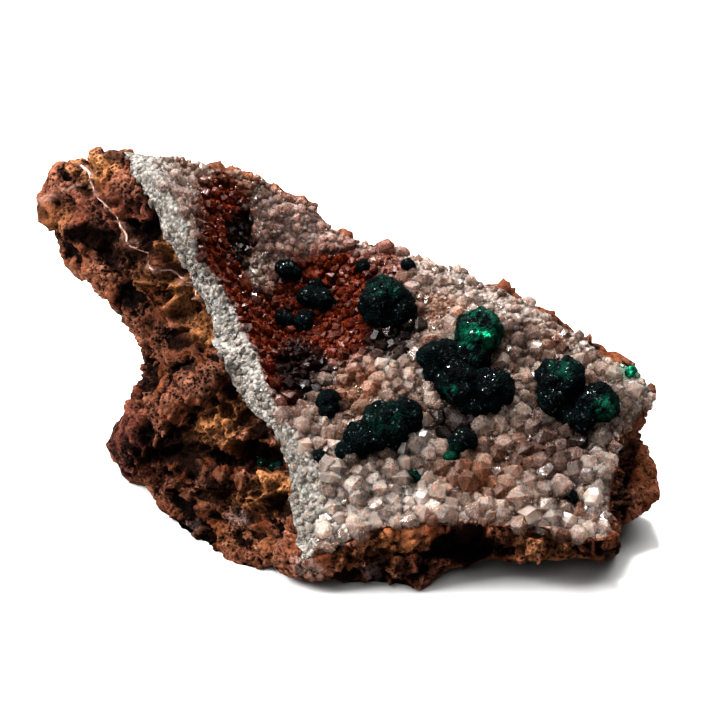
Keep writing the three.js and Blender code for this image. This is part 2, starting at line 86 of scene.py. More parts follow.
# The quartz crust's outline. Its left side is the outer edge of the white band, where the crust is broken.
crustOutline = {
    "left": [
        [-6.7, -24.4], [-6.8, -21.7], [-7.1, -17.2], [-8.3, -12.6], [-11.0, -7.9], [-13.8, -4.8],
        [-16.1, -0.6], [-17.4, 3.6], [-19.6, 7.4], [-22.4, 13.0], [-24.6, 17.3], [-28.2, 24.5],
    ],
    "top": [
        [-28.2, 24.5], [-21.6, 23.4], [-16.1, 21.9], [-12.0, 20.4], [-8.0, 18.1], [-4.4, 15.4],
        [-1.8, 13.5], [2.4, 12.7], [7.0, 11.6], [12.6, 9.2], [17.2, 6.8], [21.2, 4.4], [25.8, 1.3],
        [31.0, -1.6], [34.0, -4.2],
    ],
    "right": [
        [29.0, -21.7], [29.3, -18.0], [29.5, -14.4], [30.2, -10.6], [31.6, -8.6], [32.4, -6.4],
        [34.0, -4.2],
    ],
    "bottom": [
        [-6.7, -24.4], [-4.8, -23.5], [-1.8, -22.0], [1.2, -20.8], [4.8, -20.3], [12.0, -19.9],
        [19.2, -20.5], [24.0, -21.4], [29.0, -21.7],
    ],
}

# Edges between the broken faces. ridge is [up, across]: there the left face meets the druse.
# sill is [across, up]: below it the lower face turns under. jamb is [up, across]: right of it is a recess.
ridge = [
    [-24.4, -6.0], [-21.7, -4.8], [-17.2, -4.2], [-12.6, -5.0], [-7.9, -8.6], [-4.8, -10.6], [0, -12.4],
    [3.6, -14.0], [7.4, -16.1], [13.0, -19.6], [17.3, -21.4], [23.4, -25.0],
]
sill = [
    [-26, -16.5], [-18.6, -19.0], [-13.0, -21.6], [-6.7, -24.6], [-1.8, -22.2], [1.2, -21.0], [4.8, -20.5],
    [12.0, -20.1], [19.2, -20.7], [29.0, -21.9],
]
jamb = [[-22, 29.2], [-14.4, 29.7], [-10.6, 30.4], [-8.4, 32.0], [-4.4, 34.6]]

# The stone's faces as depths: at across 0 and up 0, then the change for each millimetre across and up.
faces = {
    "druse": (11.1, 0.015, 0.617),
    "back": [(42, 0, -0.72), (46, -0.85, 0.1), (57, 0.72, 0.1), (41, 0.05, 0.2)],
    "backBlend": 0.35,  # how sharply the back's faces meet
    "leftFall": 0.85,  # the left face falls back from the ridge
    "lowerFall": 0.75,  # the lower face falls back under the sill
    "lip": (0.28, -19.6, 5),  # the left lip: its stand forward for each millimetre up, from where, reach
    "recess": (7, 2.2),  # the step back past the druse's right edge: depth, width
    "rounding": 5,  # faces round off over this distance from the outline
    "edge": (0.4, 0.08, -12, 8),  # the outline's place in the thickness: share, low share, low from, over
    "thinnest": 4,
}

# Hollows (depth above 0) and lumps (below 0), as [across, up, half length, half width, turn, depth].
frontForms = [
    [-8.4, 8.4, 13, 15, 20, 7],
    [-25.8, 9.0, 9, 2.6, -48, 4.5],
    [-31.5, 15.5, 6, 2.8, -40, -1.6],
    [-20.0, -3.8, 7.5, 1.9, 43, -2.2],
    [-16.5, -13.6, 7.0, 1.4, -14, -1.8],
    [-15.5, -8.4, 4.6, 1.3, -24, -1.3],
    [-28.0, -10.0, 3.0, 4.2, 0, -3.5],
    [21.0, -22.4, 3.4, 1.6, -8, -1.4],
    [3.0, -24.6, 5.0, 1.2, -6, -1.2],
]

# Cavities in the rock: [across, up, half length, half width, turn in degrees, depth].
cavities = [
    [12.4, -22.0, 4.2, 2.0, 0, 5],
    [-11.8, -11.8, 2.8, 1.6, -35, 3],
    [-9.2, -17.0, 1.6, 1.2, 0, 2.4],
    [-20.8, -10.8, 3.2, 1.1, 12, 2.4],
    [-16.4, -16.6, 2.6, 0.8, -16, 1.8],
    [-13.8, -6.6, 1.4, 0.9, 30, 1.6],
    [-21.6, 2.4, 1.7, 1.2, -40, 2],
    [-19.6, -1.2, 1.3, 0.9, -30, 1.6],
    [-23.0, 10.2, 1.2, 0.8, -55, 1.5],
    [-21.0, 6.6, 1.1, 0.8, -50, 1.5],
    [-30.6, 14.2, 3.0, 1.1, -30, 2.2],
    [-31.4, 20.4, 1.4, 1.0, 10, 1.5],
]


def smooth(t):
    t = np.clip(t, 0, 1)
    return t * t * (3 - 2 * t)


# A number from 0 to 1 for each place: the far digits of a sine.
def hashed(x, y, z):
    s = np.sin(x * 127.1 + y * 311.7 + z * 74.7) * 43758.5453
    return s - np.floor(s)


# Value noise from 0 to 1: hashed values at whole-number corners, blended smoothly between them.
def noise(x, y, z):
    i, j, k = np.floor(x), np.floor(y), np.floor(z)
    u, v, w = smooth(x - i), smooth(y - j), smooth(z - k)

    def row(dj, dk):
        return hashed(i, j + dj, k + dk) * (1 - u) + hashed(i + 1, j + dj, k + dk) * u

    def layer(dk):
        return row(0, dk) * (1 - v) + row(1, dk) * v

    return layer(0) * (1 - w) + layer(1) * w


# Ridged noise from 0 to 1: 1 on the creases where plain noise passes a half.
def ridged(points, size, shift=0.0):
    q = points / size + shift
    return 1 - np.abs(2 * noise(q[..., 0], q[..., 1], q[..., 2]) - 1)


# One point sits at random in each cube of the space. Gives the distance to the nearest one, as a share of
# the cube, and the height of a broken plate round it: a flat face with a tilt and a level, about -1 to 1.
def cellsAndPlates(points, size, shift):
    q = points / size + shift
    corner = np.floor(q)
    nearest = np.full(q.shape[:-1], 9.0)
    height = np.zeros_like(nearest)
    for step in np.ndindex(3, 3, 3):
        x, y, z = np.moveaxis(corner + np.array(step) - 1, -1, 0)
        marks = np.stack([hashed(x, y, z), hashed(y, z, x + 5), hashed(z, x, y + 9)], -1)
        offset = q - np.stack([x, y, z], -1) - marks
        distance = np.linalg.norm(offset, axis=-1)
        tilt = 2 * np.roll(marks, 1, axis=-1) - 1
        level = (offset * tilt).sum(-1) + marks[..., 0] - 0.5
        height = np.where(distance < nearest, level, height)
        nearest = np.minimum(nearest, distance)
    return nearest, height


def cells(points, size, shift):
    return cellsAndPlates(points, size, shift)[0]


def plates(points, size, shift):
    return cellsAndPlates(points, size, shift)[1]


def alongKnots(knots, x):
    places, values = np.array(knots, float).T
    return np.interp(x, places, values)


# The point a share t of the way along a side, by length.
def alongSide(side, t):
    side = np.array(side, float)
    length = np.concatenate([[0], np.cumsum(np.hypot(*np.diff(side, axis=0).T))])
    return np.stack([np.interp(t * length[-1], length, side[:, i]) for i in (0, 1)], -1)


# A point inside a four-sided outline: left and right blended by u, plus bottom and top blended by v, less
# the four corners blended by both (a Coons patch).
def insidePatch(outline, u, v):
    left, right = alongSide(outline["left"], v), alongSide(outline["right"], v)
    bottom, top = alongSide(outline["bottom"], u), alongSide(outline["top"], u)
    u, v = u[..., None], v[..., None]
    corners = [np.array(outline[side][end], float) for side in ("left", "right") for end in (0, -1)]
    leftCorners = (1 - v) * corners[0] + v * corners[1]
    rightCorners = (1 - v) * corners[2] + v * corners[3]
    point = (1 - u) * left + u * right + (1 - v) * bottom + v * top
    point = point - (1 - u) * leftCorners - u * rightCorners
    return point[..., 0], point[..., 1]


def ringOf(outline):
    ring = outline["left"] + outline["top"] + outline["right"][::-1] + outline["bottom"][::-1]
    return np.array(ring, float)


# Distance to an outline, above 0 inside it and below 0 outside: the least distance to its segments, with
# the sign from how often a line to the right crosses them.
def insideBy(outline, across, up):
    ring = ringOf(outline)
    x, y = across.reshape(-1, 1), up.reshape(-1, 1)
    x0, y0 = ring.T
    dx, dy = (np.roll(ring, -1, axis=0) - ring).T
    t = np.clip(((x - x0) * dx + (y - y0) * dy) / np.maximum(dx * dx + dy * dy, 1e-9), 0, 1)
    distance = np.hypot(x - x0 - dx * t, y - y0 - dy * t).min(axis=1)
    slope = dx / np.where(np.abs(dy) < 1e-9, 1e-9, dy)
    crossed = ((y0 > y) != (y0 + dy > y)) & (x < x0 + slope * (y - y0))
    inside = crossed.sum(axis=1) % 2 == 1
    return np.where(inside, distance, -distance).reshape(across.shape)


# How far a place is from a form's middle, as a share of the form's half sizes.
def fromForm(form, across, up):
    x, y = across - form[0], up - form[1]
    turn = np.radians(form[4])
    p = (x * np.cos(turn) + y * np.sin(turn)) / form[2]
    q = (y * np.cos(turn) - x * np.sin(turn)) / form[3]
    return np.hypot(p, q)


# The largest of several soft spots at a place, each [across, up, half length, half width, turn, strength].
def spots(forms, across, up):
    shares = [form[5] * smooth(1.5 - fromForm(form, across, up)) for form in forms]
    return np.max(shares, axis=0)


def faceDepth(face, across, up):
    return face[0] + face[1] * across + face[2] * up


# Depth of the stone's front before its edges are rounded.
def frontDepth(across, up):
    edge = alongKnots(ridge, up)
    drop, dropFrom, reach = faces["lip"]
    lip = drop * np.maximum(0, up - dropFrom) * np.exp(-np.maximum(0, across - edge) / reach)
    druse = faceDepth(faces["druse"], np.maximum(across, edge), up) - lip
    leftFall = faces["leftFall"] * np.maximum(0, edge - across)
    lowerFall = faces["lowerFall"] * np.maximum(0, alongKnots(sill, across) - up)
    step, width = faces["recess"]
    rightFall = step * smooth((across - alongKnots(jamb, up)) / width)
    forms = sum(form[5] * np.exp(-1.6 * fromForm(form, across, up) ** 2) for form in frontForms)
    return druse + leftFall + lowerFall + rightFall + forms


# Depth of the stone's back: the nearest of its back faces, softly blended.
def backDepth(across, up):
    blend = sum(np.exp(-faces["backBlend"] * faceDepth(face, across, up)) for face in faces["back"])
    return np.maximum(-np.log(blend) / faces["backBlend"], frontDepth(across, up) + faces["thinnest"])


# Front or back depth, rounded to a place within the thickness at the outline.
def roundedDepth(across, up, isFront):
    front, back = frontDepth(across, up), backDepth(across, up)
    share, lowShare, lowFrom, lowOver = faces["edge"]
    low = smooth((lowFrom - up) / lowOver)
    middle = front + (back - front) * (share + (lowShare - share) * low)
    inset = np.clip(insideBy(stoneOutline, across, up) / faces["rounding"], 0, 1)
    bulge = np.sqrt(1 - (1 - inset) ** 2)
    return middle + ((front if isFront else back) - middle) * bulge


# From the sheet to the object's own frame, in millimetres: places spread with depth, and the sheet leans.
def toStone(across, up, depth):
    spread = 1 + depth / sheet["sight"]
    lean = sheet["lean"]
    y = up * spread * np.sin(lean) + depth * np.cos(lean) - sheet["forward"]
    z = up * spread * np.cos(lean) - depth * np.sin(lean) + sheet["height"]
    return np.stack([across * spread, y, z], -1)


# How a place moves when it goes one millimetre deeper.
def deeper(across, up):
    return toStone(across, up, np.full_like(across, 1.0)) - toStone(across, up, np.zeros_like(across))


# Faces of a shell: a fine grid in front, a coarse one behind in whole steps of it, and a strip between their
# borders. Each step of the coarse border is fanned to the steps of the fine one that lie along it.
def shellFaces(columns, rows, step):
    fine = np.arange((columns + 1) * (rows + 1)).reshape(rows + 1, columns + 1)
    coarse = np.arange((columns // step + 1) * (rows // step + 1)).reshape(rows // step + 1, -1) + fine.size

    def quadsOf(grid):
        return np.stack([grid[:-1, :-1], grid[:-1, 1:], grid[1:, 1:], grid[1:, :-1]], -1).reshape(-1, 4)

    def borderOf(grid):
        return np.concatenate([grid[0, :-1], grid[:-1, -1], grid[-1, :0:-1], grid[:0:-1, 0]])

    outer, inner = borderOf(fine), borderOf(coarse)
    owner = inner[((np.arange(outer.size) + step // 2) // step) % inner.size]
    fan = np.stack([outer, owner, np.roll(outer, -1)], -1)
    middle = outer[np.arange(inner.size) * step + (step + 1) // 2]
    fill = np.stack([middle, inner, np.roll(inner, -1)], -1)
    return np.concatenate([quadsOf(fine), quadsOf(coarse)[:, ::-1]]), np.concatenate([fan, fill])


# Directions out of a surface at its points: the sum of the directions of the faces round each.
def outwardOf(points, quads, triangles):
    total = np.zeros_like(points)
    for corners in (quads, triangles):
        count = corners.shape[1]
        a, b, c, d = (points[corners[:, i]] for i in (0, count // 2, count - 1, 1))
        across = np.cross(b - a, c - d) if count == 4 else np.cross(d - a, c - a)
        for i in range(count):
            np.add.at(total, corners[:, i], across)
    return total / np.maximum(np.linalg.norm(total, axis=1, keepdims=True), 1e-12)


boxEasing = {"knee": 0.8, "gap": 0.02}  # in millimetres


# Points eased to stay inside the solids' box: from a knee before each side, the way left over shrinks
# exponentially. The foot is left as it is.
def withinBox(points):
    low, high = np.array(cadBox) / millimetre
    knee, gap = boxEasing["knee"], boxEasing["gap"]
    sides = ((0, high[0], 1), (0, low[0], -1), (1, high[1], 1), (1, low[1], -1), (2, high[2], 1))
    for axis, limit, sign in sides:
        start = sign * limit - gap - knee
        beyond = np.maximum(sign * points[:, axis] - start, 0)
        eased = sign * (start + knee * (1 - np.exp(-beyond / knee)))
        points[:, axis] = np.where(beyond > 0, eased, points[:, axis])
    return points


def makePiece(name, points, quads, triangles, isSmooth, marks):
    points = withinBox(points)
    mesh = bpy.data.meshes.new(name)
    mesh.vertices.add(len(points))
    mesh.vertices.foreach_set("co", (points * millimetre).astype(np.float32).ravel())
    loops = np.concatenate([quads.ravel(), triangles.ravel()]).astype(np.int32)
    starts = np.concatenate([np.arange(len(quads)) * 4, quads.size + np.arange(len(triangles)) * 3])
    mesh.loops.add(len(loops))
    mesh.loops.foreach_set("vertex_index", loops)
    mesh.polygons.add(len(starts))
    mesh.polygons.foreach_set("loop_start", starts.astype(np.int32))
    mesh.update(calc_edges=True)
    mesh.polygons.foreach_set("use_smooth", np.broadcast_to(isSmooth, len(starts)))
    for mark, values in marks.items():
        made = mesh.attributes.new(mark, "FLOAT", "POINT")
        made.data.foreach_set("value", np.asarray(values, np.float32).ravel())
    piece = bpy.data.objects.new(name, mesh)
    bpy.context.scene.collection.objects.link(piece)
    print(f"{name}: {len(quads) * 2 + len(triangles)} triangles")
    return piece


def dress(piece, slot, material, *nodes):
    piece.data.materials.append(material)
    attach(piece, "root")
    if nodes:
        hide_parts(*nodes)


# The rock

rock = {
    "columns": 280,
    "rows": 244,
    "step": 2,
    # Where the grid is fine: a share of its lines, and the share of the outline that they cover.
    "columnKnots": [[0, 0], [0.5, 0.33], [0.93, 0.95], [1, 1]],
    "rowKnots": [[0, 0], [0.22, 0.12], [1, 1]],
    "backInset": 0.006,
    "lumps": [(13.0, 2.4), (5.2, 1.4)],  # size and height, as in the solid
    "sink": 0.55,  # the share of the lumps' height that lies below the smooth surface
    "grain": [(2.3, 0.5), (1.1, 0.4), (0.5, 0.3)],  # size and height of what the solid leaves out
    "plates": [(3.4, 0.8), (1.5, 0.5), (0.7, 0.24)],
    "calm": (1.1, 0.7),  # near the outline the relief is less: within, share
    "lowCalm": (0.75, -14, 4),  # and near the low edge less still: by a share, from how far up, over
    "smoothPlaces": [[-29.2, -9.6, 2.4, 3.8, 0, 0.45]],  # with less relief, and with less of the lumps
    "smoothLumps": 0.7,
    "patchSize": 7,  # of the sponge, layers, ochre and purple away from the front
    "wander": (1.6, 2.2),  # how far the borders of the front's marked places stray, and over what size
    "pits": [(2.4, 1.3), (1.25, 0.9), (0.75, 0.5)],  # size and depth
    "ledges": (5.0, 1.1, 1.4),  # length, spacing and height
    "foot": (8, 1.1, 0.1, 5),  # waves under the stone: size, height, middle, flat pad
}

# Where the rock is spongy, layered, ochre, purple or pale, and where it is darkened by painted shade, each
# place as
# [across, up, half length, half width, turn in degrees, strength].
spongyPlaces = [
    [-20.5, 6.2, 6.2, 2.2, -55, 1.0],
    [-14.5, -5.0, 4.5, 3.0, 40, 0.8],
    [-11.0, -14.0, 5.0, 6.0, 0, 0.8],
    [-18.5, -10.0, 7.0, 6.0, 0, 0.6],
    [-31.0, 16.0, 7.0, 4.0, -20, 0.5],
    [21.0, -22.4, 5.0, 2.0, 0, 0.7],
    [2.0, -24.6, 7.0, 2.4, 0, 0.7],
    [29.6, -22.4, 3.0, 1.6, 0, 0.9],
]
layeredPlaces = [[-15.0, -14.5, 8.5, 6.5, 0, 1.0], [2.0, -25.0, 8.0, 2.5, 0, 0.7]]
ochrePlaces = [
    [-20.5, 6.2, 5.4, 1.7, -55, 1.0],
    [-23.7, 13.6, 2.0, 1.0, -70, 1.0],
    [-31.2, 22.8, 2.6, 1.5, 0, 0.9],
    [-35.6, 17.0, 1.8, 2.2, 0, 0.45],
    [-26.0, 12.0, 5.0, 1.0, -62, 0.35],
    [-11.6, -4.6, 3.4, 1.5, 25, 0.95],
    [-15.8, -6.4, 4.2, 1.7, 38, 0.8],
    [-17.0, -8.6, 3.2, 1.6, 10, 0.6],
    [-8.6, -11.4, 2.4, 1.2, -60, 1.0],
    [-9.0, -15.4, 3.2, 1.6, 0, 0.95],
    [-12.8, -17.0, 4.0, 1.2, -8, 0.7],
    [-13.4, -21.2, 3.0, 1.6, -20, 0.25],
    [22.4, -22.3, 4.2, 1.4, -6, 0.45],
    [1.6, -22.6, 5.6, 1.2, 14, 0.5],
    [33.8, -13.0, 1.0, 3.0, 10, 0.2],
]
# Painted shade: the recess under the horn, the rock's shadowed underside, the gaps of the ledges and the
# insides of cavities.
paintedShadePlaces = [
    [-26.6, 7.0, 5.6, 1.7, -56, 0.7],
    [-25.0, -0.6, 1.8, 3.0, 0, 0.55],
    [-14.0, -22.0, 7.0, 2.2, -16, 0.6],
    [-23.0, -17.0, 4.0, 2.4, -40, 0.5],
    [1.0, -26.0, 7.0, 1.6, 0, 0.6],
    [-21.4, 0.8, 3.0, 1.4, 0, 0.7],
    [29.6, -22.6, 2.0, 1.0, 0, 0.75],
    [-19.0, -16.0, 7.0, 4.0, -20, 0.65],
    [-17.0, -5.0, 5.0, 1.6, 30, 0.45],
    [-26.0, -12.0, 4.0, 3.0, 0, 0.4],
    [-29.0, 14.4, 6.0, 1.5, -12, 1.0],
    [-27.0, 12.2, 3.4, 1.4, -30, 0.8],
    [-25.2, 5.6, 1.3, 6.2, 30, 0.9],
    [-21.6, -0.6, 1.6, 2.6, 0, 0.8],
    [-18.0, -2.0, 2.4, 1.2, 20, 0.8],
    [-25.4, 19.0, 2.6, 1.6, -20, 0.7],
    [-20.2, -9.8, 4.0, 1.3, 10, 1.0],
    [-12.6, -7.4, 2.4, 1.6, -20, 0.7],
    [12.6, -22.2, 3.8, 1.9, 0, 1.0],
    [31.2, -12.4, 1.4, 5.4, 0, 1.0],
    [-11.6, -11.6, 2.0, 1.2, -35, 1.0],
    [-9.0, -17.4, 1.5, 1.1, 0, 1.0],
]
purplePlaces = [
    [-28.4, -9.6, 4.0, 5.0, 0, 1.0],
    [-33.0, 17.0, 5.0, 4.0, 0, 0.5],
    [-27.0, 16.0, 3.0, 4.0, 0, 0.7],
]
palePlaces = [
    [-20.4, -20.6, 1.5, 1.0, 20, 0.9],
    [-14.6, -18.9, 1.0, 1.0, 0, 0.5],
    [1.2, -25.9, 0.9, 0.7, 0, 0.6],
    [-6.2, -24.6, 1.6, 0.8, -20, 0.6],
]
# Thin pale veins over the horn, as places on the sheet. The first one stands out, the second is only a stain.
veins = [
    [[-34.4, 24.0], [-31.8, 22.2], [-30.4, 19.0], [-29.4, 17.4], [-27.6, 14.4], [-25.4, 11.8], [-22.2, 9.0],
     [-19.8, 7.0]],
    [[-37.4, 18.8], [-36.0, 19.6], [-33.0, 21.0], [-31.6, 21.4]],
]
veinShape = {
    "halo": 0.2,  # half the width of its stain on the rock
    "radius": (0.12, 0.26),
    "steps": 90,
    "sides": 8,
    "proud": 0.02,
    "slack": 5,  # its path is the mean of so many steps
    "taper": 12,  # steps over which its ends grow thin
}
rockSkin = {}  # the rock's front, kept for what lies on it


# The least distance to a broken line of places on the sheet.
def fromLine(line, across, up):
    line = np.array(line, float)
    x, y = across.reshape(-1, 1), up.reshape(-1, 1)
    x0, y0 = line[:-1].T
    dx, dy = np.diff(line, axis=0).T
    t = np.clip(((x - x0) * dx + (y - y0) * dy) / (dx * dx + dy * dy), 0, 1)
    return np.hypot(x - x0 - dx * t, y - y0 - dy * t).min(axis=1).reshape(across.shape)


# Height of the stone's large lumps, shared with the crust, which follows them at its edges.
def lumpHeight(points):
    return sum(height * (ridged(points, size) - rock["sink"]) for size, height in rock["lumps"])


# How much of its full depth the crust has at a place, from 0 at its edges and outside to 1 within.
def crustInset(across, up):
    return np.clip(insideBy(crustOutline, across, up) / crust["taper"], 0, 1)


def crustThickness(inset):
    return crust["edge"] + (crust["thickness"] - crust["edge"]) * smooth(inset)


crust = {
    "columns": 280,
    "rows": 160,
    "step": 4,
    "thickness": 3.4,
    "edge": 0.6,
    "taper": 3.6,
    "gap": 0.3,
    "wave": (0.5, 3),  # height and size, as in the solid
    "proud": 0.35,  # how far its edge stands on the rock
    "ragged": 0.8,  # how far its edge wanders
    "grain": [(0.9, 0.34), (0.42, 0.26)],
}


# The rock's surface: front and back depths on the outline's patch, then moved outwards by lumps, grain and
# ledges, less pits, and pushed back at cavities and where the crust lies.
def rockSurface():
    v, u = np.meshgrid(
        alongKnots(rock["rowKnots"], np.linspace(0, 1, rock["rows"] + 1)),
        alongKnots(rock["columnKnots"], np.linspace(0, 1, rock["columns"] + 1)),
        indexing="ij",
    )
    across, up = insidePatch(stoneOutline, u, v)
    inset, step = rock["backInset"], rock["step"]
    backU, backV = inset + (1 - 2 * inset) * u[::step, ::step], inset + (1 - 2 * inset) * v[::step, ::step]
    backAcross, backUp = insidePatch(stoneOutline, backU, backV)
    front = toStone(across, up, roundedDepth(across, up, True)).reshape(-1, 3)
    back = toStone(backAcross, backUp, roundedDepth(backAcross, backUp, False)).reshape(-1, 3)
    points = np.concatenate([front, back])
    quads, triangles = shellFaces(rock["columns"], rock["rows"], step)
    outward = outwardOf(points, quads, triangles)

    across = np.concatenate([across.ravel(), backAcross.ravel()])
    up = np.concatenate([up.ravel(), backUp.ravel()])
    isFront = np.arange(len(points)) < len(front)
    inCrust = np.where(isFront, insideBy(crustOutline, across, up), -9)
    bare = smooth(-inCrust / 0.5 + 0.2)

    stray, over = rock["wander"]
    warp = stray * (noise(across / over, up / over, 3.0 + 0 * up) - 0.5)

    def onFront(forms, elsewhere):
        return np.where(isFront, spots(forms, across + warp, up - warp), elsewhere)

    x, y, z = points.T / rock["patchSize"]
    patches = noise(x, y, z + 4)
    spongy = np.maximum(onFront(spongyPlaces, 0), 0.6 * smooth((patches - 0.45) / 0.3))
    layered = onFront(layeredPlaces, 0.5 * smooth((patches - 0.5) / 0.3))

    fine = sum(height * (ridged(points, size, 11.0) - 0.5) for size, height in rock["grain"])
    fine = fine + sum(height * plates(points, size, 4.0) for size, height in rock["plates"])
    length, spacing, ledge = rock["ledges"]
    stretched = points * np.array([1 / length, 1 / length, 1 / spacing])
    fine = fine + layered * ledge * (ridged(stretched, 1.0, 3.0) - 0.5)
    pit = np.zeros(len(points))
    for size, depth in rock["pits"]:
        pit = pit + depth * smooth((0.58 - cells(points, size, 2.0)) / 0.2)
    pit = pit * spongy
    lumps = lumpHeight(points) * (1 - np.clip(inCrust / crust["taper"], 0, 1))
    within, share = rock["calm"]
    less, lowFrom, lowOver = rock["lowCalm"]
    share = share * (1 - less * smooth((lowFrom - up) / lowOver))
    calm = share + (1 - share) * smooth(insideBy(stoneOutline, across, up) / within)
    evened = spots(rock["smoothPlaces"], across, up)
    calm = calm * (1 - evened)
    lumps = lumps * (1 - rock["smoothLumps"] * evened)
    points = points + outward * (lumps + (fine - pit) * bare * calm)[:, None]

    hole = np.zeros(len(points))
    wobble = 0.25 * (noise(across / 0.7, up / 0.7, 1.0 + 0 * up) - 0.5)
    for form in cavities:
        hole = hole + form[5] * np.sqrt(np.clip(1 - (fromForm(form, across, up) + wobble) ** 2, 0, 1))
    hole = hole * isFront * bare
    room = np.clip(inCrust * 2.4 + 0.3, 0, crustThickness(inCrust / crust["taper"]) + crust["gap"])
    room = room * (inCrust > 0)
    points = points + deeper(across, up) * (hole + room)[:, None]

    size, height, middle, pad = rock["foot"]
    x, y, z = points.T
    wave = middle + height * (2 * noise(x / size, y / size, 0 * x) - 1)
    foot = np.where(np.hypot(x, y) < pad, 0, wave)
    points[:, 2] = np.maximum(np.maximum(foot, 0), z)

    vein = [smooth(2 - fromLine(line, across, up) / veinShape["halo"]) for line in veins]
    broken = smooth((noise(across * 1.3, up * 1.3, 5.0 + 0 * up) - 0.15) / 0.3)
    rockSkin["places"] = np.stack([across, up], -1)[isFront]
    rockSkin["points"] = points[isFront]
    marks = {
        "crest": np.clip(0.5 + fine / 1.3, 0, 1),
        "pit": np.clip(pit / 0.9 + hole / 1.2, 0, 1),
        "ochre": onFront(ochrePlaces, 0.4 * smooth((patches - 0.55) / 0.2)),
        # paintedShade: painted shade in recesses, undersides and cavities
        "paintedShade": onFront(paintedShadePlaces, 0),
        "purple": onFront(purplePlaces, 0.7 * smooth((0.4 - patches) / 0.2)),
        "pale": onFront(palePlaces, 0),
        "vein": np.max(vein, axis=0) * broken * isFront,
    }
    return makePiece("stone", points, quads, triangles, True, marks)


# The rock's front at places on the sheet: the mean of its nearest four points, the nearer the more.
def onRock(across, up):
    places = np.stack([across, up], -1)
    gap = np.linalg.norm(rockSkin["places"][None] - places[:, None], axis=-1)
    nearest = np.argpartition(gap, 4, axis=1)[:, :4]
    weight = 1 / (np.take_along_axis(gap, nearest, axis=1) + 0.02) ** 2
    return (rockSkin["points"][nearest] * weight[..., None]).sum(axis=1) / weight.sum(axis=1, keepdims=True)


# The main vein: a round profile carried along its line over the rock, thinner and thicker by noise.
def veinSurface():
    sides, steps, slack = veinShape["sides"], veinShape["steps"], veinShape["slack"]
    places = alongSide(veins[0], np.linspace(0, 1, steps))
    path = onRock(*places.T) - deeper(*places.T) * veinShape["proud"]
    ends = np.pad(path, ((slack // 2, slack // 2), (0, 0)), "edge")
    path = sum(ends[i : i + steps] for i in range(slack)) / slack
    along = np.gradient(path, axis=0)
    along = along / np.linalg.norm(along, axis=1, keepdims=True)
    side = np.cross(along, np.array([0.0, 1.0, 0.0]))
    side = side / np.linalg.norm(side, axis=1, keepdims=True)
    other = np.cross(along, side)
    thin, thick = veinShape["radius"]
    radius = thin + (thick - thin) * noise(*(path.T * 0.9))
    fromEnd = np.minimum(np.arange(steps), np.arange(steps)[::-1])
    radius = radius * np.sqrt(np.clip(fromEnd / veinShape["taper"], 0, 1))
    turn = 2 * np.pi * np.arange(sides) / sides
    circle = side[:, None] * np.cos(turn)[:, None] + other[:, None] * np.sin(turn)[:, None]
    points = (path[:, None] + circle * radius[:, None, None])[1:-1].reshape(-1, 3)
    ring = np.arange(len(points)).reshape(-1, sides)
    beside = np.roll(ring, -1, axis=1)
    first, last = np.full(sides, len(points)), np.full(sides, len(points) + 1)
    quads = np.stack([ring[:-1], beside[:-1], beside[1:], ring[1:]], -1).reshape(-1, 4)
    caps = [np.stack([first, beside[0], ring[0]], -1), np.stack([last, ring[-1], beside[-1]], -1)]
    return makePiece("veins", np.concatenate([points, path[[0, -1]]]), quads, np.concatenate(caps), True, {})


# The druse

# Zones of the druse, each place as [across, up, half length, half width, turn in degrees, strength].
stainPlaces = [
    [-16.8, 9.6, 4.8, 3.0, -52, 1.0],
    [-3.4, 6.4, 7.6, 6.4, 0, 1.0],
    [-16.4, 16.4, 3.4, 5.4, 10, 0.85],
    [-11.0, 3.0, 5.4, 4.8, -30, 1.0],
    [-10.2, -2.6, 3.2, 3.2, 0, 0.6],
    [-8.0, -1.4, 3.6, 3.6, 0, 0.9],
    [3.0, 11.0, 2.6, 1.6, -20, 0.5],
    [24.0, 1.6, 1.4, 1.0, 0, 0.25],
]
# Painted shade: the dark of the hollow and under the rear cluster.
shadePlaces = [
    [-14.6, 15.0, 1.6, 3.6, 0, 0.85],
    [-7.0, -1.4, 3.0, 3.6, 20, 0.85],
    [3.8, 3.2, 3.2, 3.4, 0, 0.7],
    [11.6, -8.2, 3.4, 2.6, 0, 0.6],
    [27.0, -9.6, 2.0, 1.2, 0, 0.4],
]
paleZones = [
    [1.8, -17.8, 9.0, 4.4, 0, 0.8],
    [-7.0, 17.0, 5.0, 2.4, -35, 0.55],
    [16.0, 6.4, 14.0, 1.3, -28, 0.4],
    [-24.0, 21.6, 4.4, 2.0, -20, 0.8],
    [29.0, -14.0, 1.5, 6.6, 0, 0.8],
    [31.4, -3.6, 2.6, 2.0, 0, 0.6],
    [6.8, -10.4, 2.4, 1.6, 0, 0.6],
    [24.0, -19.6, 6.0, 1.6, 0, 0.5],
]
pinkPlaces = [
    [-7.4, 15.2, 6.4, 4.6, -20, 1.0],
    [-10.6, -6.0, 2.4, 4.0, 30, 0.6],
    [-22.0, 19.4, 3.0, 2.6, 0, 0.6],
]
smokePlaces = [
    [24.6, -10.6, 6.6, 4.6, 0, 1.0],
    [17.6, 3.4, 4.0, 2.6, -20, 0.6],
    [1.0, 14.6, 9.0, 1.4, -30, 0.5],
]
amberPlaces = [
    [-0.4, -3.4, 2.9, 2.4, 0, 0.8],
    [13.4, -14.6, 4.2, 2.6, 0, 0.8],
    [26.2, -18.6, 1.5, 1.5, 0, 1.0],
    [-16.6, 20.6, 3.2, 1.4, 0, 1.0],
    [-21.6, 22.6, 1.6, 1.0, 0, 0.6],
    [9.4, 5.8, 3.1, 2.2, 0, 0.55],
    [22.6, 1.8, 2.0, 1.2, -30, 0.5],
    [8.0, -20.4, 8.0, 0.8, 0, 0.7],
    [18.4, -12.0, 4.0, 3.0, 0, 0.35],
]
greenPlaces = [[32.0, -2.4, 1.2, 0.9, 0, 1.0], [12.4, -9.4, 1.6, 1.2, 0, 0.3]]


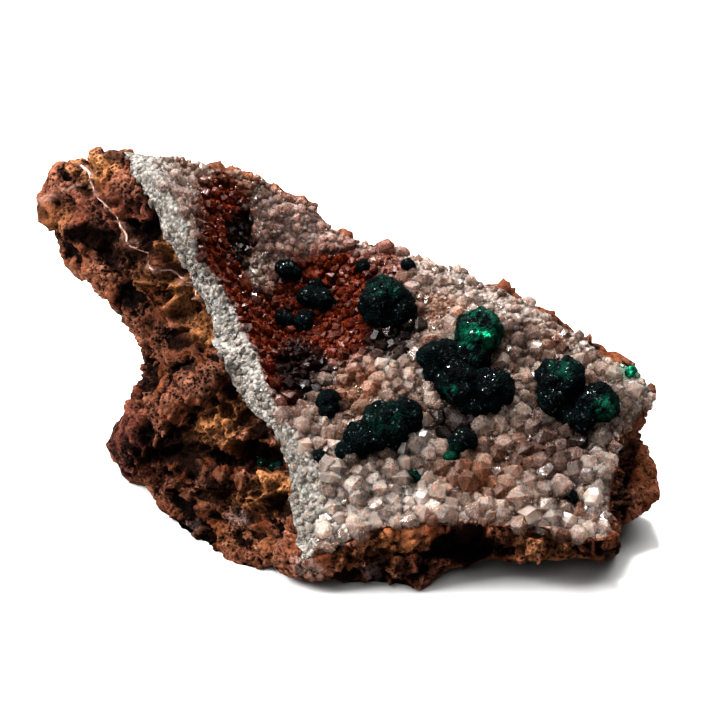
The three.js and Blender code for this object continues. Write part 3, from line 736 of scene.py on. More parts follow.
# Zones at places on the druse, with wandering borders, as marks that the quartz's materials read.
def druseMarks(across, up):
    warp = 1.3 * (noise(across / 1.4, up / 1.4, 2.0 + 0 * up) - 0.5)
    x, y = across + warp, up + 1.3 * (noise(across / 1.4, up / 1.4, 8.0 + 0 * up) - 0.5)
    zones = {
        "stain": stainPlaces,
        "shade": shadePlaces,
        "pale": paleZones,
        "pink": pinkPlaces,
        "smoke": smokePlaces,
        "amber": amberPlaces,
        "green": greenPlaces,
    }
    marks = {name: spots(forms, x, y) for name, forms in zones.items()}
    marks["band"] = bandShare(across, up)
    topEdge = np.array(crustOutline["top"], float)
    fromTop = np.interp(across, topEdge[:, 0], topEdge[:, 1]) - up
    atEdge = smooth(1.1 - insideBy(crustOutline, across, up) / 0.4) * smooth((fromTop - 1.5) / 1.5)
    marks["rust"] = atEdge * (1 - marks["band"])
    return marks


# 1 on the broken left edge of the crust, left of the ridge, and 0 on the druse.
def bandShare(across, up):
    wander = 0.7 * (noise(across / 1.1, up / 1.1, 4.0 + 0 * up) - 0.5)
    return smooth((alongKnots(ridge, up) + wander + 0.5 - across) / 0.7)


# The crust's own direction out, from places a step to each side.
def crustOutward(across, up):
    step = 0.8
    right = toStone(across + step, up, roundedDepth(across + step, up, True))
    left = toStone(across - step, up, roundedDepth(across - step, up, True))
    above = toStone(across, up + step, roundedDepth(across, up + step, True))
    below = toStone(across, up - step, roundedDepth(across, up - step, True))
    out = np.cross(right - left, above - below)
    return out / np.linalg.norm(out, axis=-1, keepdims=True)


# The crust's front: the stone's front with a slow wave, standing a little proud, and lifted at its edges by
# the lumps of the rock that it grew on. Gives the points, the directions out and the inset.
def crustFront(across, up):
    inset = crustInset(across, up)
    depth = roundedDepth(across, up, True)
    height, size = crust["wave"]
    wave = height * (2 * noise(across / size, up / size, 7.0 + 0 * up) - 1) * inset
    skin = toStone(across, up, depth)
    out = crustOutward(across, up)
    lift = lumpHeight(skin) * (1 - inset) + crust["proud"] * (1 - 0.5 * inset)
    return toStone(across, up, depth - wave) + out * lift[..., None], out, inset


# The crust's front without its stand on the rock: there the malachite sits.
def onCrust(across, up):
    return crustFront(across, up)[0] + deeper(across, up) * crust["proud"]


def crustSurface():
    columns, rows, step = crust["columns"], crust["rows"], crust["step"]
    v, u = np.meshgrid(np.linspace(0, 1, rows + 1), np.linspace(0, 1, columns + 1), indexing="ij")
    across, up = insidePatch(crustOutline, u, v)
    ragged = crust["ragged"] * (1 - crustInset(across, up)) * smooth(1 - 3 * u)
    across = across + ragged * (noise(across * 0.9, up * 0.9, 1.0 + 0 * up) - 0.5)
    across = across + ragged * 0.6 * (noise(across * 2.3, up * 2.3, 6.0 + 0 * up) - 0.5)
    front, out, inset = crustFront(across, up)
    marks = druseMarks(across, up)
    rough = sum(height * (1 - cells(front, size, 5.0)) for size, height in crust["grain"])
    rough = (rough - 0.3) * (0.5 + 0.2 * marks["band"])
    back = front + deeper(across, up) * crustThickness(inset)[..., None]
    front = front + out * (rough * smooth(inset * 2))[..., None]
    points = np.concatenate([front.reshape(-1, 3), back[::step, ::step].reshape(-1, 3)])
    quads, triangles = shellFaces(columns, rows, step)
    marks["crest"] = rough
    for name, values in marks.items():
        marks[name] = np.concatenate([values.ravel(), values[::step, ::step].ravel()])
    return makePiece("druse_ground", points, quads, triangles, True, marks)


crystals = {
    "seed": 7,
    "tried": 22000,
    "grains": 9000,  # places tried on the broken edge
    "radius": (0.28, 1.3),
    "fineRadius": (0.2, 0.34),
    "grainRadius": (0.22, 0.66),
    "rimRadius": (0.35, 0.8),
    "rimFrom": 1.5,  # the rim's crystals are within this distance of the top edge
    "rimTried": 500,  # places tried on the rock's own top edge
    "rimReach": (-26, 13),  # from where to where across
    "lean": 0.85,
    "lift": (-0.5, 0.25),  # how far a foot stands above the crust, for a radius of 1
    "bandSink": 0.25,  # how much deeper the grains of the broken edge sit, for a radius of 1
    "closeness": 0.52,  # how near two crystals may stand, as a share of their radii together
    "most": 5300,
    "prism": (-0.1, 0.55),  # how far the sides stand out, for a radius of 1
    # The shoulder's radius and height, and the point's height, of a sharp crystal and of a rounded one.
    "sharp": (0.86, 0.2, 1.0),
    "rounded": (0.76, 0.36, 0.6),
    "roundShare": 0.55,
    "dull": (0.6, 0.98),  # the share of crystals that don't glint: outside the stained zones and in them
    # A stained or shaded crystal takes the dark stained or shaded quartz: the stain's real red, or painted
    # shade.
    "stainedOrShadedFrom": 0.35,  # a dull crystal is a stained one where its stain or shade is above this
    "largePrism": 0.3,  # the prism of the large crystals
    "stagger": (0.05, 0.22, 0.3),  # a ring's corners along the axis: from, to, and the rounded ones' share
    "uneven": 0.14,  # and how uneven out from the axis
    "tipShift": 0.22,  # how far the point may lie off the axis
    "smallTo": 0.35,  # by which share the crystals of smallPlaces are smaller
    "largeTo": 0.25,  # and those of largePlaces larger
    "margins": (0.05, 0.18),  # from the crust's outline: of grains and the rim's crystals, and of the others
}

# Crystals that stand out on their own: [across, up, radius, lean across, lean up].
largeCrystals = [
    [2.9, 12.6, 1.4, -0.5, 0.9],
    [4.9, 12.2, 1.2, 0.4, 0.9],
    [-1.2, 13.2, 1.1, -0.3, 0.9],
    [19.6, 5.4, 1.0, 0.3, 0.9],
    [33.0, -5.0, 0.9, 0.6, 0.9],
    [31.4, -5.4, 0.9, 0.2, 0.3],
    [31.6, -7.2, 0.8, 0.4, 0.1],
    [30.7, -8.4, 0.8, 0.2, 0.0],
    [30.4, -10.2, 0.7, 0.3, 0.0],
    [8.0, -11.4, 1.35, 0.1, -0.1],
    [21.0, -10.8, 1.35, 0.0, 0.0],
    [-0.6, -18.2, 1.4, 0.0, 0.0],
    [19.4, -6.4, 1.4, 0.1, 0.3],
    [26.2, -18.6, 1.3, 0.0, -0.1],
    [17.6, -15.0, 1.3, 0.1, 0.1],
    [11.4, -16.4, 1.3, 0.0, 0.0],
    [24.6, -0.6, 1.25, 0.0, 0.2],
    [28.8, -1.8, 1.2, 0.1, 0.2],
    [17.4, 3.4, 1.3, 0.0, 0.2],
    [28.4, -11.4, 1.2, 0.1, 0.2],
    [-14.0, 8.6, 1.2, 0.3, 0.3],
    [-4.2, -2.6, 1.3, 0.2, 0.2],
]

# Fields of larger crystals, of smaller ones and of sugary ones.
largePlaces = [[17.0, -12.0, 13.0, 7.5, 0, 1.0]]
smallPlaces = [[-9.0, 10.0, 14.0, 12.0, -30, 1.0], [18.0, 6.0, 12.0, 2.0, -28, 0.6]]
finePlaces = [[9.4, 5.6, 3.4, 2.6, 0, 1.0], [-7.4, 15.0, 6.0, 3.6, -30, 0.5], [-0.4, -3.6, 2.4, 2.0, 0, 0.8]]


# Places for crystals, the larger first, none too near another: [across, up, radius, lean across, lean up].
def crystalPlaces(balls):
    random = np.random.default_rng(crystals["seed"])
    u, v = random.uniform(0.0, 1.0, (2, crystals["tried"] + crystals["grains"]))
    across, up = insidePatch(crustOutline, u, v)
    isGrain = np.arange(len(u)) >= crystals["tried"]
    inBand = bandShare(across, up) > 0.5
    share = random.uniform(0, 1, len(u))

    def between(sizes, power=1.0):
        return sizes[0] + (sizes[1] - sizes[0]) * share**power

    radius = between(crystals["radius"], 1.9)
    radius = radius * (1 - crystals["smallTo"] * spots(smallPlaces, across, up))
    radius = radius * (1 + crystals["largeTo"] * spots(largePlaces, across, up))
    radius = np.where(share < spots(finePlaces, across, up), between(crystals["fineRadius"]), radius)
    inside = insideBy(crustOutline, across, up)
    topEdge = np.array(crustOutline["top"], float)
    fromTop = np.interp(across, topEdge[:, 0], topEdge[:, 1]) - up
    isRim = (fromTop < crystals["rimFrom"]) & (across > topEdge[0, 0] + 4) & ~isGrain
    radius = np.where(isRim, between(crystals["rimRadius"], 1.5), radius)
    radius = np.where(isGrain, between(crystals["grainRadius"], 1.5), radius)
    near = [np.hypot(across - ball[0], up - ball[1]) > ball[2] * 0.75 + radius * 0.4 for ball in balls]
    margin = np.where(isGrain | isRim, *crystals["margins"])
    keep = (isGrain == inBand) & (inside > margin) & np.all(near, axis=0)
    lean = random.normal(0, crystals["lean"], (2, len(u))) * np.where(isGrain, 1.6, 0.9)
    lean[1] = np.where(isRim, 0.7 + 0.5 * lean[1], lean[1])
    rows = np.stack([across, up, radius, lean[0], lean[1]], -1)[keep]
    start, end = crystals["rimReach"]
    edge = alongSide(stoneOutline["top"], random.uniform(0, 1, crystals["rimTried"]))
    edge[:, 1] -= random.uniform(0.05, 0.7, len(edge))
    size = random.uniform(0.25, 0.6, len(edge))
    leanAcross = random.normal(0, 0.5, len(edge))
    rim = np.stack([*edge.T, size, leanAcross, np.full(len(edge), 0.9)], -1)
    rows = np.concatenate([rows, rim[(edge[:, 0] > start) & (edge[:, 0] < end)]])
    rows = np.concatenate([np.array(largeCrystals), rows[np.argsort(-rows[:, 2], kind="stable")]])
    kept, count = np.zeros_like(rows), 0
    for row in rows:
        apart = np.hypot(kept[:count, 0] - row[0], kept[:count, 1] - row[1])
        if count < crystals["most"] and np.all(apart > crystals["closeness"] * (kept[:count, 2] + row[2])):
            kept[count] = row
            count += 1
    return kept[:count], random


# Quartz crystals on the druse: six-sided rings on an axis that leans from the crust's direction out, closed
# by a foot in the crust and by an off-centre point.
def crystalSurface(balls):
    rows, random = crystalPlaces(balls)
    count = len(rows)
    across, up, radius = rows[:, 0], rows[:, 1], rows[:, 2]
    foot, out, _ = crustFront(across, up)
    sunk = crystals["bandSink"] * bandShare(across, up)
    foot = foot + out * (radius * (random.uniform(*crystals["lift"], count) - sunk))[:, None]
    axis = out + np.stack([rows[:, 3], np.zeros(count), rows[:, 4]], -1)
    axis = axis / np.linalg.norm(axis, axis=1, keepdims=True)
    side = np.cross(axis, np.array([0.31, 0.12, 0.94]))
    side = side / np.linalg.norm(side, axis=1, keepdims=True)
    other = np.cross(axis, side)

    prism = random.uniform(*crystals["prism"], count)
    prism[: len(largeCrystals)] = crystals["largePrism"]
    turn = random.uniform(0, np.pi, count)[:, None] + np.arange(6) * np.pi / 3
    uneven = 1 + random.uniform(-crystals["uneven"], crystals["uneven"], (count, 6))
    least, most, ofRound = crystals["stagger"]
    stagger = random.uniform(least, most, count)[:, None] * np.where(np.arange(6) % 2, 1, -1)
    isRound = random.uniform(0, 1, count) < crystals["roundShare"]
    isRound[: len(largeCrystals)] = True
    rounded, sharp = np.array([crystals["rounded"]]).T, np.array([crystals["sharp"]]).T
    shoulder, height, point = np.where(isRound, rounded, sharp)
    stagger = stagger * np.where(isRound, ofRound, 1.0)[:, None]
    rings = [
        (0.86 * uneven, -0.7 + 0 * stagger),
        (1.0 * uneven, prism[:, None] + stagger),
        (shoulder[:, None] * uneven, (prism + height)[:, None] + stagger * 0.8),
    ]
    tipSide, tipOther = random.uniform(-crystals["tipShift"], crystals["tipShift"], (2, count))

    def at(sideways, otherways, along):
        offset = side * sideways[:, None] + other * otherways[:, None] + axis * along[:, None]
        return foot + offset * radius[:, None]

    zero = np.zeros(count)
    points = [at(zero, zero, zero - 0.75)]
    for away, along in rings:
        sideways, otherways = away * np.cos(turn), away * np.sin(turn)
        points += [at(sideways[:, k], otherways[:, k], along[:, k]) for k in range(6)]
    points.append(at(tipSide, tipOther, prism + point))
    points = np.stack(points, axis=1)
    each = points.shape[1]

    k = np.arange(6)
    after = (k + 1) % 6
    low = np.stack([1 + k, 1 + after, 7 + after, 7 + k], -1)
    ends = [np.stack([0 * k, 1 + after, 1 + k], -1), np.stack([13 + k, 13 + after, 0 * k + each - 1], -1)]
    shift = (np.arange(count) * each)[:, None, None]
    quads = (np.concatenate([low, low + 6])[None] + shift).reshape(-1, 4)
    triangles = (np.concatenate(ends)[None] + shift).reshape(-1, 3)

    zones = druseMarks(across, up)
    marks = {name: np.repeat(mark, each) for name, mark in zones.items()}
    tint, _, chance = random.uniform(0, 1, (3, count))
    marks["tint"] = np.repeat(tint, each)
    marks["tip"] = np.tile(np.concatenate([[0], np.repeat([0.0, 0.6, 0.75], 6), [1]]), count)
    print(f"{count} crystals")
    outside, within = crystals["dull"]
    # How stained, shaded (painted shade), pink or banded a crystal's place is: there fewer crystals glint.
    stainedOrShaded = np.max([zones["stain"], zones["shade"], zones["pink"], 0.8 * zones["band"]], axis=0)
    isDull = chance < outside + (within - outside) * stainedOrShaded
    isDull[: len(largeCrystals)] = True
    isStainedOrShaded = np.maximum(zones["stain"], zones["shade"]) > crystals["stainedOrShadedFrom"]
    kind = np.where(isDull, np.where(isStainedOrShaded, 2, 1), 0)
    kind = np.concatenate([np.repeat(kind, 12), np.repeat(kind, 12)])
    piece = makePiece("druse_crystals", points.reshape(-1, 3), quads, triangles, False, marks)
    piece.data.polygons.foreach_set("material_index", kind.astype(np.int32))
    return piece


# The malachite

# Each cluster's balls as [across, up, radius, lift]. The lift is how far a centre stands before the crust.
clusters = {
    "malachite_crown": [
        [14.2, 3.2, 2.9, 1.6], [9.6, -0.2, 2.6, 1.2], [11.8, -3.0, 3.0, 1.6], [15.6, -3.6, 2.7, 1.2],
        [13.2, 0, 2.4, 1.2], [13.6, -5.8, 1.9, 0.6],
    ],
    "malachite_right": [
        [24.2, -2.8, 3.1, 1.4], [28.3, -5.4, 2.6, 1.3], [26.4, -7.0, 2.1, 0.9], [23.5, -5.0, 2.2, 0.9],
    ],
    "malachite_front": [
        [3.0, -8.4, 3.1, 1.5], [5.2, -7.3, 2.3, 1.2], [0.2, -9.6, 2.3, 1.2], [-1.7, -11.0, 1.3, 0.7],
    ],
    "malachite_rear": [[3.1, 6.8, 3.0, 1.6], [4.7, 5.8, 2.1, 1.2], [1.6, 5.9, 1.8, 1.0]],
    "malachite_hollow_trio": [[-4.6, 7.0, 1.6, 1.1], [-6.2, 7.4, 1.4, 1.0], [-5.3, 8.8, 1.0, 0.9]],
    "malachite_hollow_top": [[-8.9, 10.8, 1.3, 1.0], [-8.0, 10.3, 1.1, 0.9]],
    "malachite_hollow_left": [[-9.1, 4.8, 1.2, 0.9]],
    "malachite_hollow_low": [[-6.8, 4.4, 1.3, 0.9], [-6.4, 5.2, 0.9, 0.7]],
    "malachite_bead": [[-3.8, -5.0, 1.5, 1.0], [-4.0, -6.4, 0.9, 0.7]],
    "malachite_drip": [[12.6, -9.6, 1.4, 0.8], [11.5, -10.4, 1.2, 0.8], [10.9, -11.8, 0.9, 0.8]],
}
chips = [
    [5.8, 10.9, 0.9, 0.6], [0.5, 10.9, 1.0, 0.6], [-4.9, -11.6, 0.8, 0.5], [6.4, -14.0, 0.8, 0.5],
    [25.3, -16.8, 0.9, 0.5], [31.9, -2.7, 0.8, 0.5],
]
# A crust of it in the rock's middle cavity.
cavityBalls = [
    [-11.6, -12.4, 0.8, 0.2], [-10.6, -12.9, 0.7, 0.2], [-12.6, -11.9, 0.5, 0.1], [-9.8, -12.6, 0.5, 0.1],
]
malachite = {
    "fineness": 28,  # rings for each millimetre of radius, up to the most
    "mostRings": 82,
    "wave": (1.3, 0.22),  # size, and height as a share of the radius, as in the solid
    # Rounded knobs of several kinds: size and height.
    "knobs": [(1.9, 0.6), (0.8, 0.46), (0.36, 0.24)],
}
# Where the green is brightest: partly bright green malachite, partly painted light on knob tops and a painted
# highlight on the crown's top ball: [across, up, half length, half width, turn, strength].
greenAndHighlightPlaces = [
    [14.7, 4.2, 1.1, 0.7, -10, 1.0],
    [14.4, 3.4, 3.2, 2.2, 0, 0.4],
    [14.2, 5.2, 2.4, 1.4, 0, 0.35],
    [-11.2, -12.4, 1.6, 0.8, 0, 0.15],
    [29.0, -5.0, 1.6, 1.4, 0, 0.35],
    [10.6, -2.6, 0.8, 0.7, 0, 0.45],
    [3.8, -7.0, 3.0, 1.6, 0, 0.08],
    [24.0, -0.4, 1.8, 0.7, 0, 0.16],
    [3.0, 9.0, 1.8, 0.8, 0, 0.12],
    [31.9, -2.7, 1.2, 1.2, 0, 1.0],
    [10.9, -11.2, 1.2, 1.2, 0, 0.25],
    [6.4, -14.0, 1.0, 1.0, 0, 0.7],
]


# A group of knobbly balls: each a sphere on rings, moved outwards by a slow wave and by knobs, which are
# domes of cells (the root of 1 less the squared distance to the cell's middle).
def ballSurface(name, balls, seat):
    allPoints, allQuads, allTriangles, bright, knob = [], [], [], [], []
    start = 0
    for across, up, radius, lift in balls:
        rings = int(min(malachite["mostRings"], max(10, malachite["fineness"] * radius)))
        around = int(rings * 1.5)
        polar, turn = np.pi * np.arange(1, rings) / rings, 2 * np.pi * np.arange(around) / around
        polar, turn = (angles.ravel() for angles in np.meshgrid(polar, turn, indexing="ij"))
        out = np.stack([np.sin(polar) * np.cos(turn), np.sin(polar) * np.sin(turn), np.cos(polar)], -1)
        out = np.concatenate([out, [[0, 0, 1.0]], [[0, 0, -1.0]]])
        place = np.array([across]), np.array([up])
        centre = seat(*place) - deeper(*place) * lift
        sphere = centre + out * radius
        size, share = malachite["wave"]
        height = radius * share * (2 * noise(*(sphere / size).T) - 1)
        domes = np.zeros(len(sphere))
        for dome, high in malachite["knobs"]:
            cell = cells(sphere, dome, 1.0)
            domes = domes + high * min(1, radius / 1.6) * (np.sqrt(np.clip(1 - cell**2, 0, 1)) - 0.72)
        points = sphere + out * (height + domes)[:, None]
        ring = np.arange((rings - 1) * around).reshape(rings - 1, around) + start
        beside = np.roll(ring, -1, axis=1)
        top, bottom = start + ring.size, start + ring.size + 1
        allQuads.append(np.stack([ring[:-1], ring[1:], beside[1:], beside[:-1]], -1).reshape(-1, 4))
        allTriangles.append(np.stack([np.full(around, top), ring[0], beside[0]], -1))
        allTriangles.append(np.stack([np.full(around, bottom), beside[-1], ring[-1]], -1))
        allPoints.append(points)
        # Real green, painted light and a painted highlight, placed where each point of the ball is seen on
        # the sheet.
        seenAcross, seenUp = across + out[:, 0] * radius, up + out[:, 2] * radius
        bright.append(spots(greenAndHighlightPlaces, seenAcross, seenUp))
        knob.append(np.clip(0.6 + domes / 0.4, 0, 1))
        start += len(points)
    marks = {"bright": np.concatenate(bright), "knob": np.concatenate(knob)}
    points, quads, triangles = (np.concatenate(rows) for rows in (allPoints, allQuads, allTriangles))
    return makePiece(name, points, quads, triangles, True, marks)


# Materials

def put(tree, kind, inputs=None, **settings):
    made = tree.nodes.new(kind)
    for name, value in settings.items():
        setattr(made, name, value)
    for key, value in (inputs or {}).items():
        if isinstance(value, bpy.types.NodeSocket):
            tree.links.new(value, made.inputs[key])
        else:
            made.inputs[key].default_value = value
    return made


def mixColour(tree, factor, first, second, blend="MIX"):
    mix = put(tree, "ShaderNodeMix", {0: factor, 6: first, 7: second}, data_type="RGBA", blend_type=blend)
    return mix.outputs[2]


def maths(tree, operation, first, second=0.0, clamp=False):
    inputs = {0: first, 1: second}
    return put(tree, "ShaderNodeMath", inputs, operation=operation, use_clamp=clamp).outputs[0]


def times(tree, first, second):
    return maths(tree, "MULTIPLY", first, second)


def plus(tree, first, second, clamp=False):
    return maths(tree, "ADD", first, second, clamp)


def stretch(tree, value, low, high, toLow=0.0, toHigh=1.0):
    inputs = {"Value": value, "From Min": low, "From Max": high, "To Min": toLow, "To Max": toHigh}
    return put(tree, "ShaderNodeMapRange", inputs).outputs[0]


def mark(tree, name):
    return put(tree, "ShaderNodeAttribute", attribute_name=name).outputs["Fac"]


def startMaterial(name):
    material = bpy.data.materials.new(name)
    material.use_nodes = True
    tree = material.node_tree
    tree.nodes.clear()
    shader = put(tree, "ShaderNodeBsdfPrincipled")
    put(tree, "ShaderNodeOutputMaterial", {"Surface": shader.outputs[0]})
    return material, tree, shader


def addBump(tree, shader, height, strength, distance):
    bump = put(tree, "ShaderNodeBump", {"Height": height, "Strength": strength, "Distance": distance})
    tree.links.new(bump.outputs[0], shader.inputs["Normal"])


def startGroup(name, inputs, outputs):
    group = bpy.data.node_groups.new(name, "ShaderNodeTree")
    for socket in inputs:
        group.interface.new_socket(socket, in_out="INPUT", socket_type="NodeSocketFloat")
    for socket in outputs:
        group.interface.new_socket(socket, in_out="OUTPUT", socket_type="NodeSocketFloat")
    place = put(group, "ShaderNodeTexCoord").outputs["Object"]
    return group, put(group, "NodeGroupInput").outputs, place


def endGroup(group, values):
    end = put(group, "NodeGroupOutput")
    for i, value in enumerate(values):
        group.links.new(value, end.inputs[i])
    return group


# Uneven grain for every mineral here: slow patches, small specks, and a height for bumps.
def grainGroup():
    scales, results = ("Patch Scale", "Speck Scale"), ("Patches", "Specks", "Height")
    group, given, place = startGroup("mineralGrain", scales, results)

    def noiseOf(scale, detail, roughness):
        inputs = {"Vector": place, "Scale": scale, "Detail": detail, "Roughness": roughness}
        return put(group, "ShaderNodeTexNoise", inputs).outputs[0]

    patches = noiseOf(given[0], 6.0, 0.6)
    specks = noiseOf(given[1], 8.0, 0.75)
    return endGroup(group, (patches, specks, plus(group, times(group, patches, 0.5), specks)))


# Tiny crystal faces: cells with a tilt of their own, for sugary quartz and for the malachite's glitter.
def facetGroup():
    group, given, place = startGroup("tinyFacets", ("Scale",), ("Height", "Shade", "Distance"))
    cell = put(group, "ShaderNodeTexVoronoi", {"Vector": place, "Scale": given[0], "Randomness": 1.0})
    shade = put(group, "ShaderNodeSeparateColor", {"Color": cell.outputs["Color"]})
    height = maths(group, "SUBTRACT", shade.outputs[0], cell.outputs["Distance"])
    return endGroup(group, (height, shade.outputs[1], cell.outputs["Distance"]))


def useGroup(tree, group, **inputs):
    named = {name.replace("_", " "): value for name, value in inputs.items()}
    return put(tree, "ShaderNodeGroup", named, node_tree=group).outputs


# The rock's tones and textures. Its low parts and its crests have a tone each, as have its purple and ochre;
# the low tone is partly painted shade and the crest tone partly painted light.
rockLook = {
    "low": (0.018, 0.005, 0.003, 1),
    "lowPurple": (0.024, 0.007, 0.006, 1),
    "lowOchre": (0.27, 0.105, 0.042, 1),
    "high": [(0.26, 0.088, 0.04, 1), (0.45, 0.21, 0.135, 1)],
    "highPurple": (0.31, 0.115, 0.082, 1),
    "highOchre": (0.68, 0.33, 0.15, 1),
    # sunk is the tone of painted shade in pits, holes, cracks and low relief.
    "sunk": (0.004, 0.002, 0.0015, 1),
    "pale": (0.5, 0.36, 0.33, 1),
    "vein": (0.42, 0.25, 0.2, 1),
    "patches": 240.0,
    "specks": 1500.0,
    "holes": 1900.0,
    "ridges": (900.0, 2200.0, 420.0),  # two sizes of sharp crests, and the cracks
    "bump": 0.002,
}


def rockMaterial(grain, facets):
    look = rockLook
    material, tree, shader = startMaterial("rusty rock")
    patches, specks, _ = useGroup(tree, grain, Patch_Scale=look["patches"], Speck_Scale=look["specks"])
    gap = useGroup(tree, facets, Scale=look["holes"])["Distance"]
    crest, pit, ochre, purple = (mark(tree, name) for name in ("crest", "pit", "ochre", "purple"))

    # Small round holes, most of them where the patches are high and in ochre parts.
    holed = stretch(tree, plus(tree, patches, times(tree, ochre, 0.2)), 0.5, 0.6)
    hole = times(tree, stretch(tree, gap, 0.5, 0.25), holed)

    # Sharp crests on two scales, and thin cracks where a third one peaks.
    place = put(tree, "ShaderNodeTexCoord").outputs["Object"]
    ridge = {"Vector": place, "Detail": 5.0, "Roughness": 0.6, "Offset": 1.0, "Gain": 2.0}
    large, small, thin = (
        put(
            tree, "ShaderNodeTexNoise", {**ridge, "Scale": scale}, noise_type="RIDGED_MULTIFRACTAL"
        ).outputs[0]
        for scale in look["ridges"]
    )
    edges = plus(tree, stretch(tree, large, 0.6, 2.2), stretch(tree, small, 0.6, 2.2, 0.0, 0.5))
    crack = stretch(tree, thin, 2.1, 2.7)

    # How much a spot stands up: by its specks, by the relief and by the sharp crests. Low spots take the low
    # tone and high ones the high tone: partly the rock's own mottling, partly painted shade and painted
    # light.
    stand = stretch(tree, specks, 0.4, 0.58, -0.1, 0.75)
    stand = plus(tree, stand, stretch(tree, crest, 0.25, 0.75, -0.35, 0.5))
    stand = plus(tree, stand, stretch(tree, edges, 0.0, 1.5, -0.45, 0.5), clamp=True)
    low = mixColour(tree, purple, look["low"], look["lowPurple"])
    low = mixColour(tree, times(tree, ochre, 0.8), low, look["lowOchre"])
    high = mixColour(tree, stretch(tree, patches, 0.4, 0.6), *look["high"])
    high = mixColour(tree, purple, high, look["highPurple"])
    high = mixColour(tree, ochre, high, look["highOchre"])
    colour = mixColour(tree, stand, low, high)

    # Painted shade: dark in pits, holes, cracks and low relief, and in the places marked with painted shade.
    paintedShade = times(tree, mark(tree, "paintedShade"), stretch(tree, stand, 0.3, 0.9, 0.95, 0.6))
    sunk = plus(tree, times(tree, pit, 0.8), times(tree, hole, 0.75))
    sunk = plus(tree, sunk, times(tree, crack, 0.9))
    sunk = plus(tree, sunk, stretch(tree, crest, 0.36, 0.16, 0.0, 0.85))
    sunk = plus(tree, sunk, paintedShade, clamp=True)
    sunk = times(tree, sunk, stretch(tree, ochre, 0.0, 1.0, 0.93, 0.66))
    colour = mixColour(tree, sunk, colour, look["sunk"])
    pale = times(tree, mark(tree, "pale"), stretch(tree, specks, 0.4, 0.55))
    colour = mixColour(tree, pale, colour, look["pale"])
    colour = mixColour(tree, times(tree, mark(tree, "vein"), 0.7), colour, look["vein"])
    tree.links.new(colour, shader.inputs["Base Color"])
    tree.links.new(stretch(tree, specks, 0.3, 0.7, 0.95, 0.55), shader.inputs["Roughness"])
    shader.inputs["Specular IOR Level"].default_value = 0.05
    height = plus(tree, specks, times(tree, edges, 0.22))
    height = maths(tree, "SUBTRACT", height, times(tree, crack, 0.3))
    addBump(tree, shader, maths(tree, "SUBTRACT", height, times(tree, hole, 0.4)), 1.0, look["bump"])
    return material


# The quartz's two tones, and the tones of the druse's zones in the order of painting: name, tone and share.
quartzTones = [(0.4, 0.27, 0.21, 1), (0.66, 0.54, 0.48, 1)]
zoneTones = [
    ("smoke", (0.27, 0.18, 0.155, 1), 0.85),
    ("amber", (0.36, 0.14, 0.055, 1), 0.85),
    ("pale", (0.8, 0.7, 0.64, 1), 0.8),
    ("pink", (0.6, 0.42, 0.37, 1), 0.8),
    ("stain", (0.26, 0.038, 0.006, 1), 1.0),
    ("green", (0.08, 0.35, 0.2, 1), 0.7),
    ("band", (0.52, 0.475, 0.43, 1), 1.0),
    # shade is painted shade, in the hollow and under the rear cluster.
    ("shade", (0.016, 0.004, 0.002, 1), 0.93),
    ("rust", (0.26, 0.08, 0.022, 1), 1.0),
]
fullZones = ("stain", "shade")  # zones that reach their full tone soon inside their border
# The crystals' finishes: brightness, roughness from and to, refraction, and how clear they are.
crystalFinishes = {
    "clear quartz": (1.15, (0.06, 0.24), 1.45, 0.85),
    "dull quartz": (1.15, (0.2, 0.4), 1.16, 0.85),
    # The stained or shaded quartz is dark for the stain's real red and for painted shade.
    "stained or shaded quartz": (0.36, (0.12, 0.4), 1.25, 0.45),
}


# The quartz's colour: between its two tones by a share, then painted zone by zone, and made brighter or
# darker.
def quartzColour(tree, share, brightness):
    colour = mixColour(tree, share, *quartzTones)
    for name, tone, most in zoneTones:
        amount = mark(tree, name)
        if name in fullZones:
            amount = stretch(tree, amount, 0.1, 0.65)
        colour = mixColour(tree, times(tree, amount, most), colour, tone)
    return mixColour(tree, 1.0, colour, (brightness, brightness, brightness, 1), "MULTIPLY")


# The crust between the crystals, and its broken edge: sugary faces at half brightness, and darker where it is
# low, both painted shade between the crystals.
def groundMaterial(grain, facets):
    material, tree, shader = startMaterial("quartz ground")
    patches = useGroup(tree, grain, Patch_Scale=500.0, Speck_Scale=2500.0)["Patches"]
    height, shade, _ = useGroup(tree, facets, Scale=1900.0)
    colour = quartzColour(tree, stretch(tree, patches, 0.38, 0.62), 0.5)
    # Painted shade: darker where the crust is low between the crystals.
    dim = stretch(tree, mark(tree, "crest"), -0.1, 0.3, 0.45, 1.0)
    dim = times(tree, dim, stretch(tree, shade, 0.0, 1.0, 0.42, 1.15))
    colour = mixColour(tree, 1.0, colour, dim, "MULTIPLY")
    tree.links.new(colour, shader.inputs["Base Color"])
    tree.links.new(stretch(tree, shade, 0.0, 1.0, 0.15, 0.6), shader.inputs["Roughness"])
    addBump(tree, shader, height, 0.9, 0.0004)
    shader.inputs["Specular IOR Level"].default_value = 0.15
    return material


